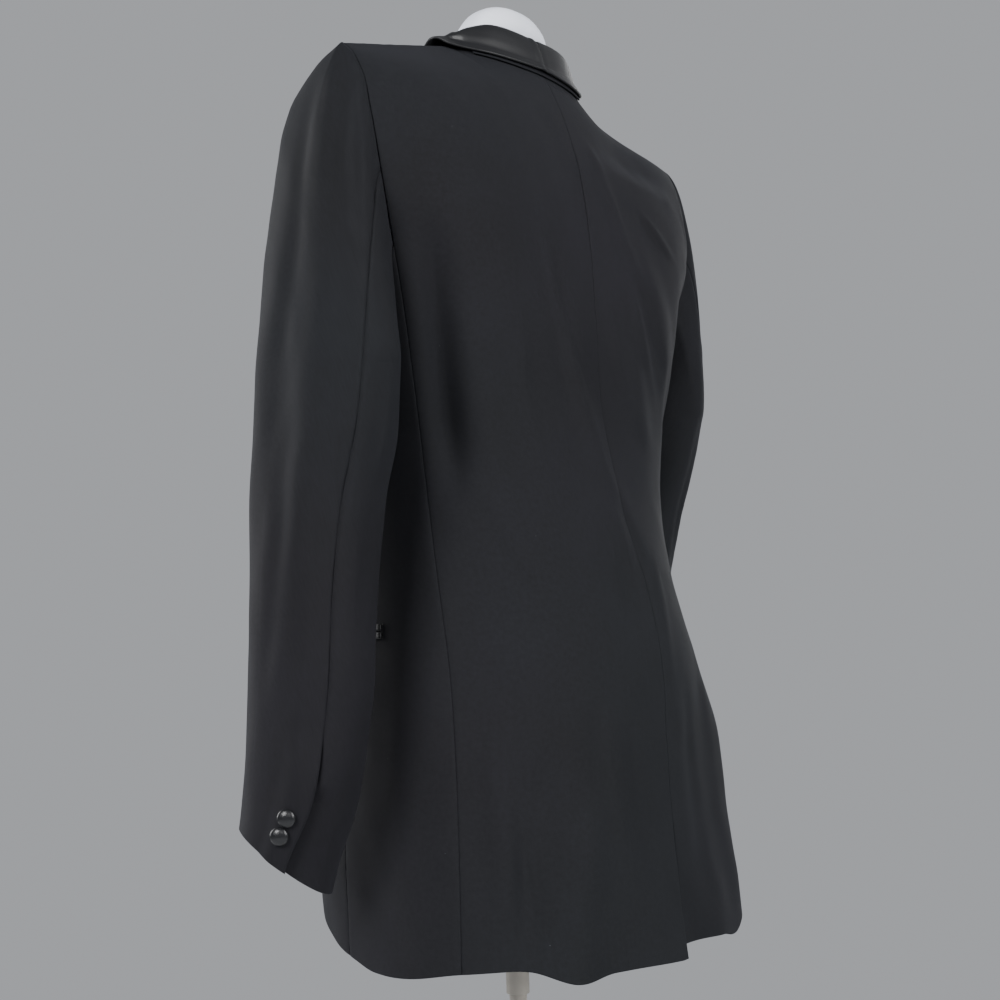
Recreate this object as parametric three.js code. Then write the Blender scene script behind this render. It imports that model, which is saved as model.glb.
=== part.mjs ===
// A man's dinner jacket in black wool with a satin shawl collar, worn by a limbless dress form on a pole.
// Millimetres. +Z is up, +Y is the wearer's back and +X the wearer's left. The origin is under the base,
// on the pole's axis. The cloth pieces are cut and joined as a tailor's are: backs, side bodies, foreparts,
// two-piece sleeves, collar and jets, each a thin wall of its own with a fine gap at every seam.
import * as THREE from "three";

// Driving sizes
const CLOTH_WALL = 2.2;
const COLLAR_WALL = 2.4;
const SEAM_GAP = 0.3;
const HEM_HEIGHT = 735;
const FRONT_BUTTON_HEIGHT = 1088;
const LAPEL_END_HEIGHT = 1140;
const UNDERARM_HEIGHT = 1256;
const BICEPS_HEIGHT = 1200;
const CUFF_HEIGHT = 832;
const CUFF_SLANT = 26;
const FRONT_OVERLAP = 15;
const HEM_CORNER = 78;
const LEFT = 1;
const RIGHT = -1;

// Colours and finishes of the pieces
const WOOL = { color: 0x24252a, roughness: 0.85, metalness: 0 };
const SATIN = { color: 0x1c1d21, roughness: 0.32, metalness: 0 };
const FORM_SKIN = { color: 0xe2e5ee, roughness: 0.6, metalness: 0 };
const PAINTED_STEEL = { color: 0xb9b1a2, roughness: 0.4, metalness: 0.3 };

// The body of the jacket, level by level. centreZ and centreY are on the centre back, drift is how far the
// centre back seam hangs to the wearer's left there. backX, backY, backZ and backTurn are the outer edge of
// the back: the side back seam up to the armhole, and the armhole's back half from there to the shoulder.
// frontX, frontY, frontZ and frontTurn are the same for the forepart. A turn is how far the cloth has
// turned from facing straight back, in degrees. chestY and chestZ are on the centre front.
const LEVELS = [
  { level: 735, centreZ: 735, centreY: 166, drift: -6, backX: 182, backY: 84, backZ: 735, backTurn: 70,
    frontX: 178, frontY: -32, frontZ: 735, frontTurn: 106, chestY: -152, chestZ: 735 },
  { level: 815, centreZ: 815, centreY: 161, drift: -5, backX: 177, backY: 81, backZ: 815, backTurn: 68,
    frontX: 173, frontY: -38, frontZ: 815, frontTurn: 109, chestY: -146, chestZ: 815 },
  { level: 895, centreZ: 895, centreY: 155, drift: -9, backX: 172, backY: 77, backZ: 895, backTurn: 66,
    frontX: 166, frontY: -42, frontZ: 895, frontTurn: 113, chestY: -136, chestZ: 895 },
  { level: 970, centreZ: 970, centreY: 146, drift: -21, backX: 165, backY: 68, backZ: 970, backTurn: 65,
    frontX: 160, frontY: -48, frontZ: 970, frontTurn: 114, chestY: -131, chestZ: 970 },
  { level: 1040, centreZ: 1040, centreY: 129, drift: -27, backX: 157, backY: 53, backZ: 1040, backTurn: 64,
    frontX: 152, frontY: -51, frontZ: 1040, frontTurn: 116, chestY: -125, chestZ: 1040 },
  { level: 1115, centreZ: 1115, centreY: 113, drift: -12, backX: 161, backY: 47, backZ: 1115, backTurn: 65,
    frontX: 156, frontY: -50, frontZ: 1115, frontTurn: 116, chestY: -124, chestZ: 1115 },
  { level: 1190, centreZ: 1190, centreY: 108, drift: 0, backX: 174, backY: 49, backZ: 1190, backTurn: 64,
    frontX: 168, frontY: -47, frontZ: 1190, frontTurn: 114, chestY: -128, chestZ: 1190 },
  { level: 1250, centreZ: 1250, centreY: 108, drift: 0, backX: 191, backY: 55, backZ: 1250, backTurn: 60,
    frontX: 183, frontY: -43, frontZ: 1250, frontTurn: 113, chestY: -128, chestZ: 1250 },
  { level: 1298, centreZ: 1298, centreY: 106, drift: 0, backX: 207, backY: 60, backZ: 1298, backTurn: 52,
    frontX: 199, frontY: -37, frontZ: 1290, frontTurn: 118, chestY: -125, chestZ: 1300 },
  { level: 1340, centreZ: 1345, centreY: 103, drift: 0, backX: 222, backY: 65, backZ: 1340, backTurn: 42,
    frontX: 208, frontY: -44, frontZ: 1335, frontTurn: 128, chestY: -118, chestZ: 1345 },
  { level: 1385, centreZ: 1393, centreY: 96, drift: 0, backX: 230, backY: 64, backZ: 1385, backTurn: 32,
    frontX: 217, frontY: -40, frontZ: 1383, frontTurn: 140, chestY: -98, chestZ: 1395 },
  { level: 1422, centreZ: 1438, centreY: 83, drift: 0, backX: 231, backY: 57, backZ: 1424, backTurn: 24,
    frontX: 224, frontY: -22, frontZ: 1424, frontTurn: 150, chestY: -70, chestZ: 1448 },
  { level: 1446, centreZ: 1471, centreY: 69, drift: 0, backX: 230, backY: 47, backZ: 1446, backTurn: 14,
    frontX: 228, frontY: 6, frontZ: 1446, frontTurn: 162, chestY: -40, chestZ: 1484 },
];
const TOP_LEVEL = 1470;
const SEAM_MEETS_ARMHOLE = 1298;

// The neck and shoulder seam, on the wearer's left
const NECK_BACK = { y: 57, z: 1493 };
const NECK_POINT = { x: 82, y: 22, z: 1499 };
const SHOULDER_TIP = { x: 229, y: 34, leftZ: 1459, rightZ: 1452 };
const NECK_SHARE = 0.36;
const SHOULDER_DIP = { left: 0.5, right: 9 };

// The front edge of a forepart: its distance past the centre front, towards the wearer's own side. It is
// cut away below the button and follows the roll line of the lapel above it.
const FRONT_EDGE = [
  { level: 735, x: 134 }, { level: 800, x: 118 }, { level: 850, x: 93 }, { level: 900, x: 62 },
  { level: 950, x: 34 }, { level: 1000, x: 6 }, { level: 1040, x: -FRONT_OVERLAP },
  { level: 1095, x: -FRONT_OVERLAP }, { level: 1115, x: -2 }, { level: 1190, x: 29 },
  { level: 1250, x: 41 }, { level: 1298, x: 52 }, { level: 1340, x: 62 }, { level: 1385, x: 72 },
  { level: 1422, x: 80 }, { level: 1446, x: 84 },
];

// How far the hem stands above its level, by the direction round the body: 0 is back, 90 is the side
const HEM_LINE = [
  { around: 0, rise: -4 }, { around: 28, rise: 0 }, { around: 40, rise: -3 }, { around: 50, rise: 9 },
  { around: 65, rise: 9 }, { around: 79, rise: 3 }, { around: 90, rise: 4 }, { around: 97, rise: 10 },
  { around: 104, rise: 16 }, { around: 112, rise: 20 }, { around: 180, rise: 20 },
];

// The largest folds of the backs. Each runs from one level and share of the panel's width to another, is so
// many millimetres wide and so deep. A negative depth is a trough.
const BACK_FOLDS = [
  { side: LEFT, fromLevel: 1345, fromShare: 0.84, toLevel: 1080, toShare: 0.88, width: 15, depth: -15 },
  { side: RIGHT, fromLevel: 1340, fromShare: 0.85, toLevel: 1110, toShare: 0.88, width: 15, depth: -9 },
  { side: LEFT, fromLevel: 1330, fromShare: 0.22, toLevel: 1040, toShare: 0.02, width: 22, depth: 4 },
  { side: RIGHT, fromLevel: 1430, fromShare: 0.04, toLevel: 1110, toShare: 0.42, width: 22, depth: 4 },
  { side: RIGHT, fromLevel: 1360, fromShare: 0.26, toLevel: 1180, toShare: 0.7, width: 22, depth: 4 },
  { side: LEFT, fromLevel: 940, fromShare: 0.62, toLevel: 735, toShare: 0.78, width: 17, depth: -7 },
  { side: LEFT, fromLevel: 870, fromShare: 0.48, toLevel: 735, toShare: 0.58, width: 20, depth: 6 },
  { side: RIGHT, fromLevel: 980, fromShare: 0.6, toLevel: 735, toShare: 0.72, width: 28, depth: 8 },
  { side: RIGHT, fromLevel: 1470, fromShare: 0.5, toLevel: 1390, toShare: 0.44, width: 52, depth: -10 },
];

const radians = THREE.MathUtils.degToRad;
const clamp = THREE.MathUtils.clamp;
const lerp = THREE.MathUtils.lerp;
const smoothstep = THREE.MathUtils.smoothstep;

// A smooth curve through values at rising knots. Its slope at a knot comes from both neighbours.
function spline(knots, values) {
  const last = knots.length - 1;
  const slopes = values.map((_, i) => {
    const a = Math.max(i - 1, 0);
    const b = Math.min(i + 1, last);
    return (values[b] - values[a]) / (knots[b] - knots[a]);
  });
  return (at) => {
    let i = 0;
    while (i < last - 1 && at > knots[i + 1]) i += 1;
    const span = knots[i + 1] - knots[i];
    const t = (at - knots[i]) / span;
    const t2 = t * t;
    const t3 = t2 * t;
    return (2 * t3 - 3 * t2 + 1) * values[i] + (t3 - 2 * t2 + t) * span * slopes[i]
      + (3 * t2 - 2 * t3) * values[i + 1] + (t3 - t2) * span * slopes[i + 1];
  };
}

// One spline for each named column of a table, read at the table's key column
function columns(table, key, names) {
  const knots = table.map((row) => row[key]);
  const made = {};
  for (const name of names) made[name] = spline(knots, table.map((row) => row[name]));
  return made;
}

// A cubic arc from one point to another that leaves and arrives along given directions
function arc(start, leave, end, arrive, t) {
  const reach = start.distanceTo(end);
  const bend = leave.angleTo(arrive);
  const pull = bend < 0.01 ? reach : (2 * reach * Math.tan(bend / 4)) / Math.sin(bend / 2);
  const t2 = t * t;
  const t3 = t2 * t;
  return new THREE.Vector3()
    .addScaledVector(start, 2 * t3 - 3 * t2 + 1)
    .addScaledVector(leave, (t3 - 2 * t2 + t) * pull)
    .addScaledVector(end, 3 * t2 - 2 * t3)
    .addScaledVector(arrive, (t3 - t2) * pull);
}

function heading(side, turnDegrees) {
  const turn = radians(turnDegrees);
  return new THREE.Vector3(side * Math.cos(turn), -Math.sin(turn), 0);
}

// The shoulder seam from the neck point (0) to the shoulder tip (1), hollowed a little as it leaves the neck
function shoulderSeam(side, share) {
  const deepest = side === LEFT ? SHOULDER_DIP.left : SHOULDER_DIP.right;
  const dip = deepest * Math.sin(Math.PI * Math.sqrt(share));
  return new THREE.Vector3(
    side * lerp(NECK_POINT.x, SHOULDER_TIP.x, share),
    lerp(NECK_POINT.y, SHOULDER_TIP.y, share),
    lerp(NECK_POINT.z, side === LEFT ? SHOULDER_TIP.leftZ : SHOULDER_TIP.rightZ, share) - dip,
  );
}

// The back neckline from the centre back (0) to the neck point (1)
function backNeckline(side, share) {
  const turn = (share * Math.PI) / 2;
  return new THREE.Vector3(
    side * NECK_POINT.x * Math.sin(turn),
    lerp(NECK_POINT.y, NECK_BACK.y, Math.cos(turn)),
    lerp(NECK_BACK.z, NECK_POINT.z, share * share),
  );
}

// The top edge of a back: neckline first, then shoulder seam
function backTop(side, u) {
  if (u <= NECK_SHARE) return backNeckline(side, u / NECK_SHARE);
  return shoulderSeam(side, (u - NECK_SHARE) / (1 - NECK_SHARE));
}

function backRow(side, row, u) {
  const start = new THREE.Vector3(row.drift, row.centreY, row.centreZ);
  const end = new THREE.Vector3(side * row.backX, row.backY, row.backZ);
  return arc(start, heading(side, 0), end, heading(side, row.backTurn), u);
}

function sideRow(side, row, u) {
  const start = new THREE.Vector3(side * row.backX, row.backY, row.backZ);
  const end = new THREE.Vector3(side * row.frontX, row.frontY, row.frontZ);
  return arc(start, heading(side, row.backTurn), end, heading(side, row.frontTurn), u);
}

const frontEdgeX = spline(FRONT_EDGE.map((row) => row.level), FRONT_EDGE.map((row) => row.x));

// A row of a forepart runs from the side seam or armhole (0) to the front edge or roll line (1). Past the
// centre front it goes straight on, so that one front overlaps the other.
function frontRow(side, row, u) {
  const start = new THREE.Vector3(side * row.frontX, row.frontY, row.frontZ);
  const end = new THREE.Vector3(0, row.chestY, row.chestZ);
  const leave = heading(side, row.frontTurn);
  const arrive = heading(side, 180);
  const edge = frontEdgeX(row.level);
  const reach = start.distanceTo(end);
  let stop = 1 - edge / reach;
  if (edge > 0) {
    let low = 0;
    let high = 1;
    for (let step = 0; step < 24; step += 1) {
      stop = (low + high) / 2;
      if (side * arc(start, leave, end, arrive, stop).x > edge) low = stop;
      else high = stop;
    }
  }
  const at = u * stop;
  if (at <= 1) return arc(start, leave, end, arrive, at);
  return end.clone().addScaledVector(arrive, (at - 1) * reach);
}

// A panel's surface: a spline through its rows from the hem to its top edge
function panelSurface(rowPoint, topPoint) {
  const cache = new Map();
  return (u, level) => {
    const key = u.toFixed(6);
    if (!cache.has(key)) {
      const points = LEVELS.map((row) => rowPoint(row, u));
      const knots = LEVELS.map((row) => row.level);
      if (topPoint) {
        points.push(topPoint(u));
        knots.push(TOP_LEVEL);
      }
      cache.set(key, ["x", "y", "z"].map((axis) => spline(knots, points.map((p) => p[axis]))));
    }
    const [x, y, z] = cache.get(key);
    return new THREE.Vector3(x(level), y(level), z(level));
  };
}

const backSurface = {};
const sideSurface = {};
const frontSurface = {};
for (const side of [LEFT, RIGHT]) {
  backSurface[side] = panelSurface((row, u) => backRow(side, row, u), (u) => backTop(side, u));
  sideSurface[side] = panelSurface((row, u) => sideRow(side, row, u));
  frontSurface[side] = panelSurface((row, u) => frontRow(side, row, u), (u) => shoulderSeam(side, 1 - u));
}

// The outward direction of a surface, from short steps along it
function outward(surface, u, v, stepU, stepV, inside) {
  const uLow = surface(clamp(u - stepU, 0, 1), v);
  const uHigh = surface(clamp(u + stepU, 0, 1), v);
  const along = uHigh.sub(uLow);
  const up = surface(u, v + stepV).sub(surface(u, v - stepV));
  const normal = along.cross(up).normalize();
  const away = surface(u, v).sub(inside);
  return normal.dot(away) < 0 ? normal.negate() : normal;
}

const BACK_WIDTH = 205;

function foldDepth(side, u, level) {
  let depth = 0;
  for (const fold of BACK_FOLDS) {
    if (fold.side !== side) continue;
    const along = (fold.fromLevel - level) / (fold.fromLevel - fold.toLevel);
    const centre = lerp(fold.fromShare, fold.toShare, along);
    const across = ((u - centre) * BACK_WIDTH) / fold.width;
    const openEnd = fold.toLevel <= HEM_HEIGHT;
    const fade = smoothstep(along, 0, 0.35) * (openEnd ? 1 : 1 - smoothstep(along, 0.65, 1));
    depth += fold.depth * fade * Math.exp(-across * across);
  }
  return depth;
}

// Near the shoulder seam both panels take the ridge's own upward direction, so that their walls stay apart
function ridgeOut(side, out, share, level) {
  const near = smoothstep(level, 1446, TOP_LEVEL) * clamp(1 + (share * (1 - NECK_SHARE)) / NECK_SHARE, 0, 1);
  if (near === 0) return out;
  const along = shoulderSeam(side, clamp(share + 0.05, 0.1, 1));
  along.sub(shoulderSeam(side, clamp(share - 0.05, 0, 0.9))).normalize();
  const ridge = new THREE.Vector3(0, 0, 1).addScaledVector(along, -along.z).normalize();
  return out.clone().lerp(ridge, near).normalize();
}

// A closed wall between two grids of points of the same size, each a list of rows
function wallGeometry(outer, inner) {
  const rows = outer.length;
  const count = outer[0].length;
  const positions = [];
  for (const row of [...outer, ...inner]) {
    for (const p of row) positions.push(p.x, p.y, p.z);
  }
  const outerAt = (r, c) => r * count + c;
  const innerAt = (r, c) => (rows + r) * count + c;
  const index = [];
  const quad = (a, b, c, d) => index.push(a, b, c, a, c, d);
  for (let r = 0; r < rows - 1; r += 1) {
    for (let c = 0; c < count - 1; c += 1) {
      quad(outerAt(r, c), outerAt(r, c + 1), outerAt(r + 1, c + 1), outerAt(r + 1, c));
      quad(innerAt(r, c), innerAt(r + 1, c), innerAt(r + 1, c + 1), innerAt(r, c + 1));
    }
  }
  for (let c = 0; c < count - 1; c += 1) {
    quad(outerAt(0, c), innerAt(0, c), innerAt(0, c + 1), outerAt(0, c + 1));
    quad(outerAt(rows - 1, c + 1), innerAt(rows - 1, c + 1), innerAt(rows - 1, c), outerAt(rows - 1, c));
  }
  for (let r = 0; r < rows - 1; r += 1) {
    quad(outerAt(r + 1, 0), innerAt(r + 1, 0), innerAt(r, 0), outerAt(r, 0));
    quad(outerAt(r, count - 1), innerAt(r, count - 1), innerAt(r + 1, count - 1), outerAt(r + 1, count - 1));
  }
  return closedGeometry(positions, index);
}

// A geometry whose faces point outwards, turned round where its pattern is mirrored
function closedGeometry(positions, index) {
  const a = new THREE.Vector3();
  const b = new THREE.Vector3();
  const c = new THREE.Vector3();
  let volume = 0;
  for (let i = 0; i < index.length; i += 3) {
    a.fromArray(positions, 3 * index[i]);
    b.fromArray(positions, 3 * index[i + 1]);
    c.fromArray(positions, 3 * index[i + 2]);
    volume += a.dot(b.cross(c));
  }
  if (volume < 0) index.reverse();
  const geometry = new THREE.BufferGeometry();
  geometry.setAttribute("position", new THREE.Float32BufferAttribute(positions, 3));
  geometry.setIndex(index);
  geometry.computeVertexNormals();
  return geometry;
}

// Draws the four edges of a grid in by half a seam gap, so that neighbours lie one gap apart
function trimmed(grid) {
  const cut = SEAM_GAP / 2;
  const rows = grid.length - 1;
  const last = grid[0].length - 1;
  const toward = (p, q) => p.clone().lerp(q, Math.min(cut / Math.max(p.distanceTo(q), 1e-6), 0.4));
  const sides = grid.map((row) => row.map((p, c) => {
    if (c === 0) return toward(p, row[1]);
    if (c === last) return toward(p, row[last - 1]);
    return p;
  }));
  return sides.map((row, r) => row.map((p, c) => {
    if (r === 0) return toward(p, sides[1][c]);
    if (r === rows) return toward(p, sides[rows - 1][c]);
    return p;
  }));
}

const shares = (count) => Array.from({ length: count + 1 }, (_, i) => i / count);

// A cloth wall on a surface. place(u, v) gives a point, its outward direction and how far the cloth
// stands off the surface there.
function clothWall(us, vs, place, wall = CLOTH_WALL) {
  const cells = vs.map((v) => us.map((u) => place(u, v)));
  const outer = trimmed(cells.map((row) => row.map((s) => s.point.clone().addScaledVector(s.out, s.lift))));
  const inner = trimmed(
    cells.map((row) => row.map((s) => s.point.clone().addScaledVector(s.out, s.lift - wall))),
  );
  return wallGeometry(outer, inner);
}

const object = new THREE.Group();
const materials = {
  wool: new THREE.MeshStandardMaterial(WOOL),
  satin: new THREE.MeshStandardMaterial(SATIN),
  form: new THREE.MeshStandardMaterial(FORM_SKIN),
  steel: new THREE.MeshStandardMaterial(PAINTED_STEEL),
};

function add(name, geometry, material) {
  const mesh = new THREE.Mesh(geometry, material);
  mesh.name = name;
  object.add(mesh);
}

const sideName = (side) => (side === LEFT ? "left" : "right");
const SPINE = new THREE.Vector3(0, 10, 0);
const insideAt = (z) => SPINE.clone().setZ(z);

const hemLine = spline(HEM_LINE.map((row) => row.around), HEM_LINE.map((row) => row.rise));

// The rise of the hem line at a point of the cloth, fading out above the hem
function hemRise(point, level) {
  const around = THREE.MathUtils.radToDeg(Math.atan2(Math.abs(point.x), point.y));
  return hemLine(around) * (1 - smoothstep(level, HEM_HEIGHT, HEM_HEIGHT + 130));
}

// The levels at which all panels of the body are sampled, so that their seams match
const LOWER_LEVELS = [735, 762, 800, 842, 890, 940, 985, 1025, 1062, 1100, LAPEL_END_HEIGHT, 1175, 1215, 1255,
  1278, SEAM_MEETS_ARMHOLE];
const ARMHOLE_LEVELS = [1325, 1352, 1380, 1405, 1428, 1446, 1460, TOP_LEVEL];
const PANEL_LEVELS = [...LOWER_LEVELS, ...ARMHOLE_LEVELS];

// Backs. The centre back seam opens into a vent, whose left edge stands out over the right one.
const VENT_TOP = 842;
const VENT_SPREAD = 34;
const VENT_DEPTH = 20;
const BACK_SHARES = [0, 0.25 * NECK_SHARE, 0.5 * NECK_SHARE, 0.75 * NECK_SHARE, NECK_SHARE, 0.46, 0.56, 0.65,
  0.73, 0.79, 0.84, 0.89, 0.94, 1];
function ventOpening(side, u, level) {
  const open = clamp((VENT_TOP - level) / (VENT_TOP - HEM_HEIGHT), 0, 1) ** 1.4;
  const near = Math.exp(-((u / 0.3) ** 2));
  if (side === LEFT) return new THREE.Vector3(0, 3 * open * near, 0);
  return new THREE.Vector3(-VENT_SPREAD * open * near, -VENT_DEPTH * open * near, 4 * open * near);
}

function backPlace(side) {
  const surface = (u, level) => backSurface[side](u, level);
  return (u, level) => {
    const point = surface(u, level);
    const facing = outward(surface, u, level, 0.01, 1, insideAt(point.z - 30));
    const out = ridgeOut(side, facing, (u - NECK_SHARE) / (1 - NECK_SHARE), level);
    const lift = foldDepth(side, u, level);
    point.z += hemRise(point, level);
    point.add(ventOpening(side, u, level));
    return { point, out, lift };
  };
}

for (const side of [LEFT, RIGHT]) {
  add(`back_${sideName(side)}`, clothWall(BACK_SHARES, PANEL_LEVELS, backPlace(side)), materials.wool);
}

// Side bodies, from the side back seam (0) to the side front seam (1). The top edge dips under the arm.
const SIDE_COLUMNS = 6;

// The side body's own level for a level of the panels beside it
function sideLevel(u, level) {
  const top = lerp(UNDERARM_HEIGHT, SEAM_MEETS_ARMHOLE, (2 * u - 1) ** 2);
  const share = (level - HEM_HEIGHT) / (SEAM_MEETS_ARMHOLE - HEM_HEIGHT);
  return lerp(HEM_HEIGHT, top, share);
}

// The panel level at which the side body reaches a height
function panelLevelAt(u, height) {
  const top = sideLevel(u, SEAM_MEETS_ARMHOLE);
  return HEM_HEIGHT + ((height - HEM_HEIGHT) * (SEAM_MEETS_ARMHOLE - HEM_HEIGHT)) / (top - HEM_HEIGHT);
}

function sidePlace(side) {
  return (u, panelLevel) => {
    const level = sideLevel(u, panelLevel);
    const point = sideSurface[side](u, level);
    const out = outward(sideSurface[side], u, level, 0.01, 1, insideAt(point.z));
    const lift = foldDepth(side, 1, level) * (1 - smoothstep(u, 0, 0.5));
    point.z += hemRise(point, level);
    return { point, out, lift };
  };
}

for (const side of [LEFT, RIGHT]) {
  const geometry = clothWall(shares(SIDE_COLUMNS), LOWER_LEVELS, sidePlace(side));
  add(`side_${sideName(side)}`, geometry, materials.wool);
}

// Foreparts, from the side seam and armhole (0) to the front edge and roll line (1), with a round corner at
// the hem. The left one closes over the right one.
const CLOSING_LIFT = 1.9;
const FRONT_SHARES = [0, 0.14, 0.28, 0.42, 0.55, 0.67, 0.78, 0.87, 0.94, 1];

function closingLift(side, point) {
  const near = 1 - smoothstep(side * point.x, 18, 60);
  const height = smoothstep(point.z, 900, 980) * (1 - smoothstep(point.z, 1124, 1150));
  return side * CLOSING_LIFT * near * height;
}

// The round corner: the lowest levels rise towards the front edge
function cornerLevel(u, level) {
  const rise = HEM_CORNER * (1 - Math.sqrt(1 - u * u));
  return level + rise * (1 - smoothstep(level, HEM_HEIGHT, HEM_HEIGHT + 205));
}

function frontPlace(side) {
  return (u, panelLevel) => {
    const level = cornerLevel(u, panelLevel);
    const point = frontSurface[side](u, level);
    const facing = outward(frontSurface[side], u, level, 0.01, 1, insideAt(point.z - 30));
    const out = ridgeOut(side, facing, 1 - u, level);
    const lift = closingLift(side, point);
    point.z += hemRise(point, panelLevel);
    return { point, out, lift };
  };
}

for (const side of [LEFT, RIGHT]) {
  const geometry = clothWall(FRONT_SHARES, PANEL_LEVELS, frontPlace(side));
  add(`front_${sideName(side)}`, geometry, materials.wool);
}

// Sleeves. An armhole ring runs from the shoulder tip down the back, under the arm and up the front. Each
// of its points is a corner of a panel, so that the sleeve's edge follows the panels' edges.
const ARMHOLE_CENTRE = { y: 12, z: 1355 };
const HIND_SEAM_LEVEL = 1352;
const FRONT_SEAM_LEVEL = 1325;

function aroundArmhole(point) {
  return THREE.MathUtils.radToDeg(Math.atan2(point.y - ARMHOLE_CENTRE.y, point.z - ARMHOLE_CENTRE.z));
}

function armholeRing(side) {
  const down = [...ARMHOLE_LEVELS].reverse();
  const back = down.map((level) => ({ level, panel: "back", point: backPlace(side)(1, level).point }));
  const under = shares(SIDE_COLUMNS).map((u) => {
    return { level: SEAM_MEETS_ARMHOLE, panel: "side", point: sidePlace(side)(u, SEAM_MEETS_ARMHOLE).point };
  });
  const front = ARMHOLE_LEVELS.slice(0, -1)
    .map((level) => ({ level, panel: "front", point: frontPlace(side)(0, level).point }));
  const ring = [...back, ...under, ...front];
  let before = -360;
  for (const spot of ring) {
    spot.around = aroundArmhole(spot.point);
    while (spot.around < before) spot.around += 360;
    before = spot.around;
    spot.point.x += side * SEAM_GAP;
  }
  return ring;
}

// Sleeves hang from the armholes. outX, leftY and rightY are the middle of the sleeve at each height, halfX
// and halfY its half width and half depth. The right sleeve bends further forward.
const SLEEVE = [
  { z: 780, outX: 259, leftY: -34, rightY: -98, halfX: 40, halfY: 37 },
  { z: 830, outX: 256, leftY: -22, rightY: -88, halfX: 42, halfY: 39 },
  { z: 875, outX: 253, leftY: -9, rightY: -78, halfX: 42, halfY: 45 },
  { z: 954, outX: 249, leftY: 0, rightY: -60, halfX: 43, halfY: 51 },
  { z: 1030, outX: 246, leftY: 3, rightY: -41, halfX: 44, halfY: 52 },
  { z: 1100, outX: 243, leftY: 7, rightY: -26, halfX: 44, halfY: 57 },
  { z: 1150, outX: 241, leftY: 14, rightY: -12, halfX: 43, halfY: 63 },
  { z: 1200, outX: 240, leftY: 18, rightY: 0, halfX: 41, halfY: 65 },
];
const sleeveAt = columns(SLEEVE, "z", ["outX", "leftY", "rightY", "halfX", "halfY"]);

// The two seams of a sleeve below the armhole, as directions round it: 0 is outwards, 90 is back
const HIND_SEAM = { biceps: 58, cuff: 52 };
const FRONT_SEAM = { biceps: 262, cuff: 256 };
const CUFF_LOWEST = 127;

function sleeveTube(side, around, share) {
  const turn = radians(around);
  const end = CUFF_HEIGHT - CUFF_SLANT * Math.cos(turn - radians(CUFF_LOWEST));
  const z = lerp(BICEPS_HEIGHT, end, share);
  const middleY = side === LEFT ? sleeveAt.leftY(z) : sleeveAt.rightY(z);
  return new THREE.Vector3(
    side * (sleeveAt.outX(z) + sleeveAt.halfX(z) * Math.cos(turn)),
    middleY + sleeveAt.halfY(z) * Math.sin(turn),
    z,
  );
}

// The whole sleeve: q runs from the armhole (0) to the biceps (1) and on to the cuff (2). Near the armhole a
// direction starts at a point of the ring.
function sleevePoint(side, spot, around, q) {
  if (q >= 1) return sleeveTube(side, around, q - 1);
  const end = sleeveTube(side, around, 0);
  const down = sleeveTube(side, around, 0.02).sub(end).normalize();
  const turn = radians(spot.around);
  const high = Math.max(Math.cos(turn), 0);
  const flare = Math.sin(turn) > 0 ? 0.4 : 0.12;
  const leave = new THREE.Vector3(side, flare * Math.sin(turn) * (1 - high), 0.12 * high).normalize();
  const reach = spot.point.distanceTo(end);
  const startPull = lerp(0.28, 0.25, high) * reach;
  const endPull = 0.75 * reach;
  const t2 = q * q;
  const t3 = t2 * q;
  return new THREE.Vector3()
    .addScaledVector(spot.point, 2 * t3 - 3 * t2 + 1)
    .addScaledVector(leave, (t3 - 2 * t2 + q) * startPull)
    .addScaledVector(end, 3 * t2 - 2 * t3)
    .addScaledVector(down, (t3 - t2) * endPull);
}

// The largest folds of a sleeve, along it: where each lies round the sleeve and from where to where it runs
const SLEEVE_FOLDS = [
  { around: 20, fromQ: 0.55, toQ: 1.6, width: 12, depth: 3 },
  { around: -12, fromQ: 0.5, toQ: 1.3, width: 12, depth: -3 },
  { around: 80, fromQ: 0.9, toQ: 1.5, width: 14, depth: -4 },
];

function sleeveFold(around, q) {
  let depth = 0;
  for (const fold of SLEEVE_FOLDS) {
    const off = (around - fold.around) / fold.width;
    const closing = 1 - smoothstep(q, fold.toQ - 0.3, fold.toQ);
    const fade = smoothstep(q, fold.fromQ, fold.fromQ + 0.25) * closing;
    depth += fold.depth * fade * Math.exp(-off * off);
  }
  return depth;
}

// The cuff vent: the upper sleeve's hind edge stands a little over the under sleeve's and swings forward
// towards the hem, so that a narrow wedge opens between the two.
const CUFF_VENT_Q = 1.81;
const CUFF_VENT_LIFT = 4;
const CUFF_VENT_SWING = 6;
const CUFF_UNDERLAP = 1.5;
const SLEEVE_ROWS = [0, 0.12, 0.26, 0.42, 0.6, 0.8, 1, 1.11, 1.22, 1.33, 1.44, 1.55, 1.65, 1.74, 1.81, 1.85,
  1.9, 1.95, 2];

// The columns of a whole sleeve: every ring point with its direction at the biceps and at the cuff
function sleeveColumns(side) {
  const ring = armholeRing(side);
  const hind = ring.findIndex((spot) => spot.panel === "back" && spot.level === HIND_SEAM_LEVEL);
  const fore = ring.findIndex((spot) => spot.panel === "front" && spot.level === FRONT_SEAM_LEVEL);
  const upperCount = hind + ring.length - fore;
  ring.forEach((spot, i) => {
    const onUpper = i <= hind || i >= fore;
    const upperShare = ((i - fore + ring.length) % ring.length) / upperCount;
    const share = onUpper ? upperShare : (i - hind) / (fore - hind);
    const upperTurn = (seam) => lerp(FRONT_SEAM[seam] - 360, HIND_SEAM[seam], share);
    const underTurn = (seam) => lerp(HIND_SEAM[seam], FRONT_SEAM[seam], share);
    spot.biceps = onUpper ? upperTurn("biceps") : underTurn("biceps");
    spot.cuff = onUpper ? upperTurn("cuff") : underTurn("cuff");
  });
  return { ring, hind, fore };
}

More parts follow.
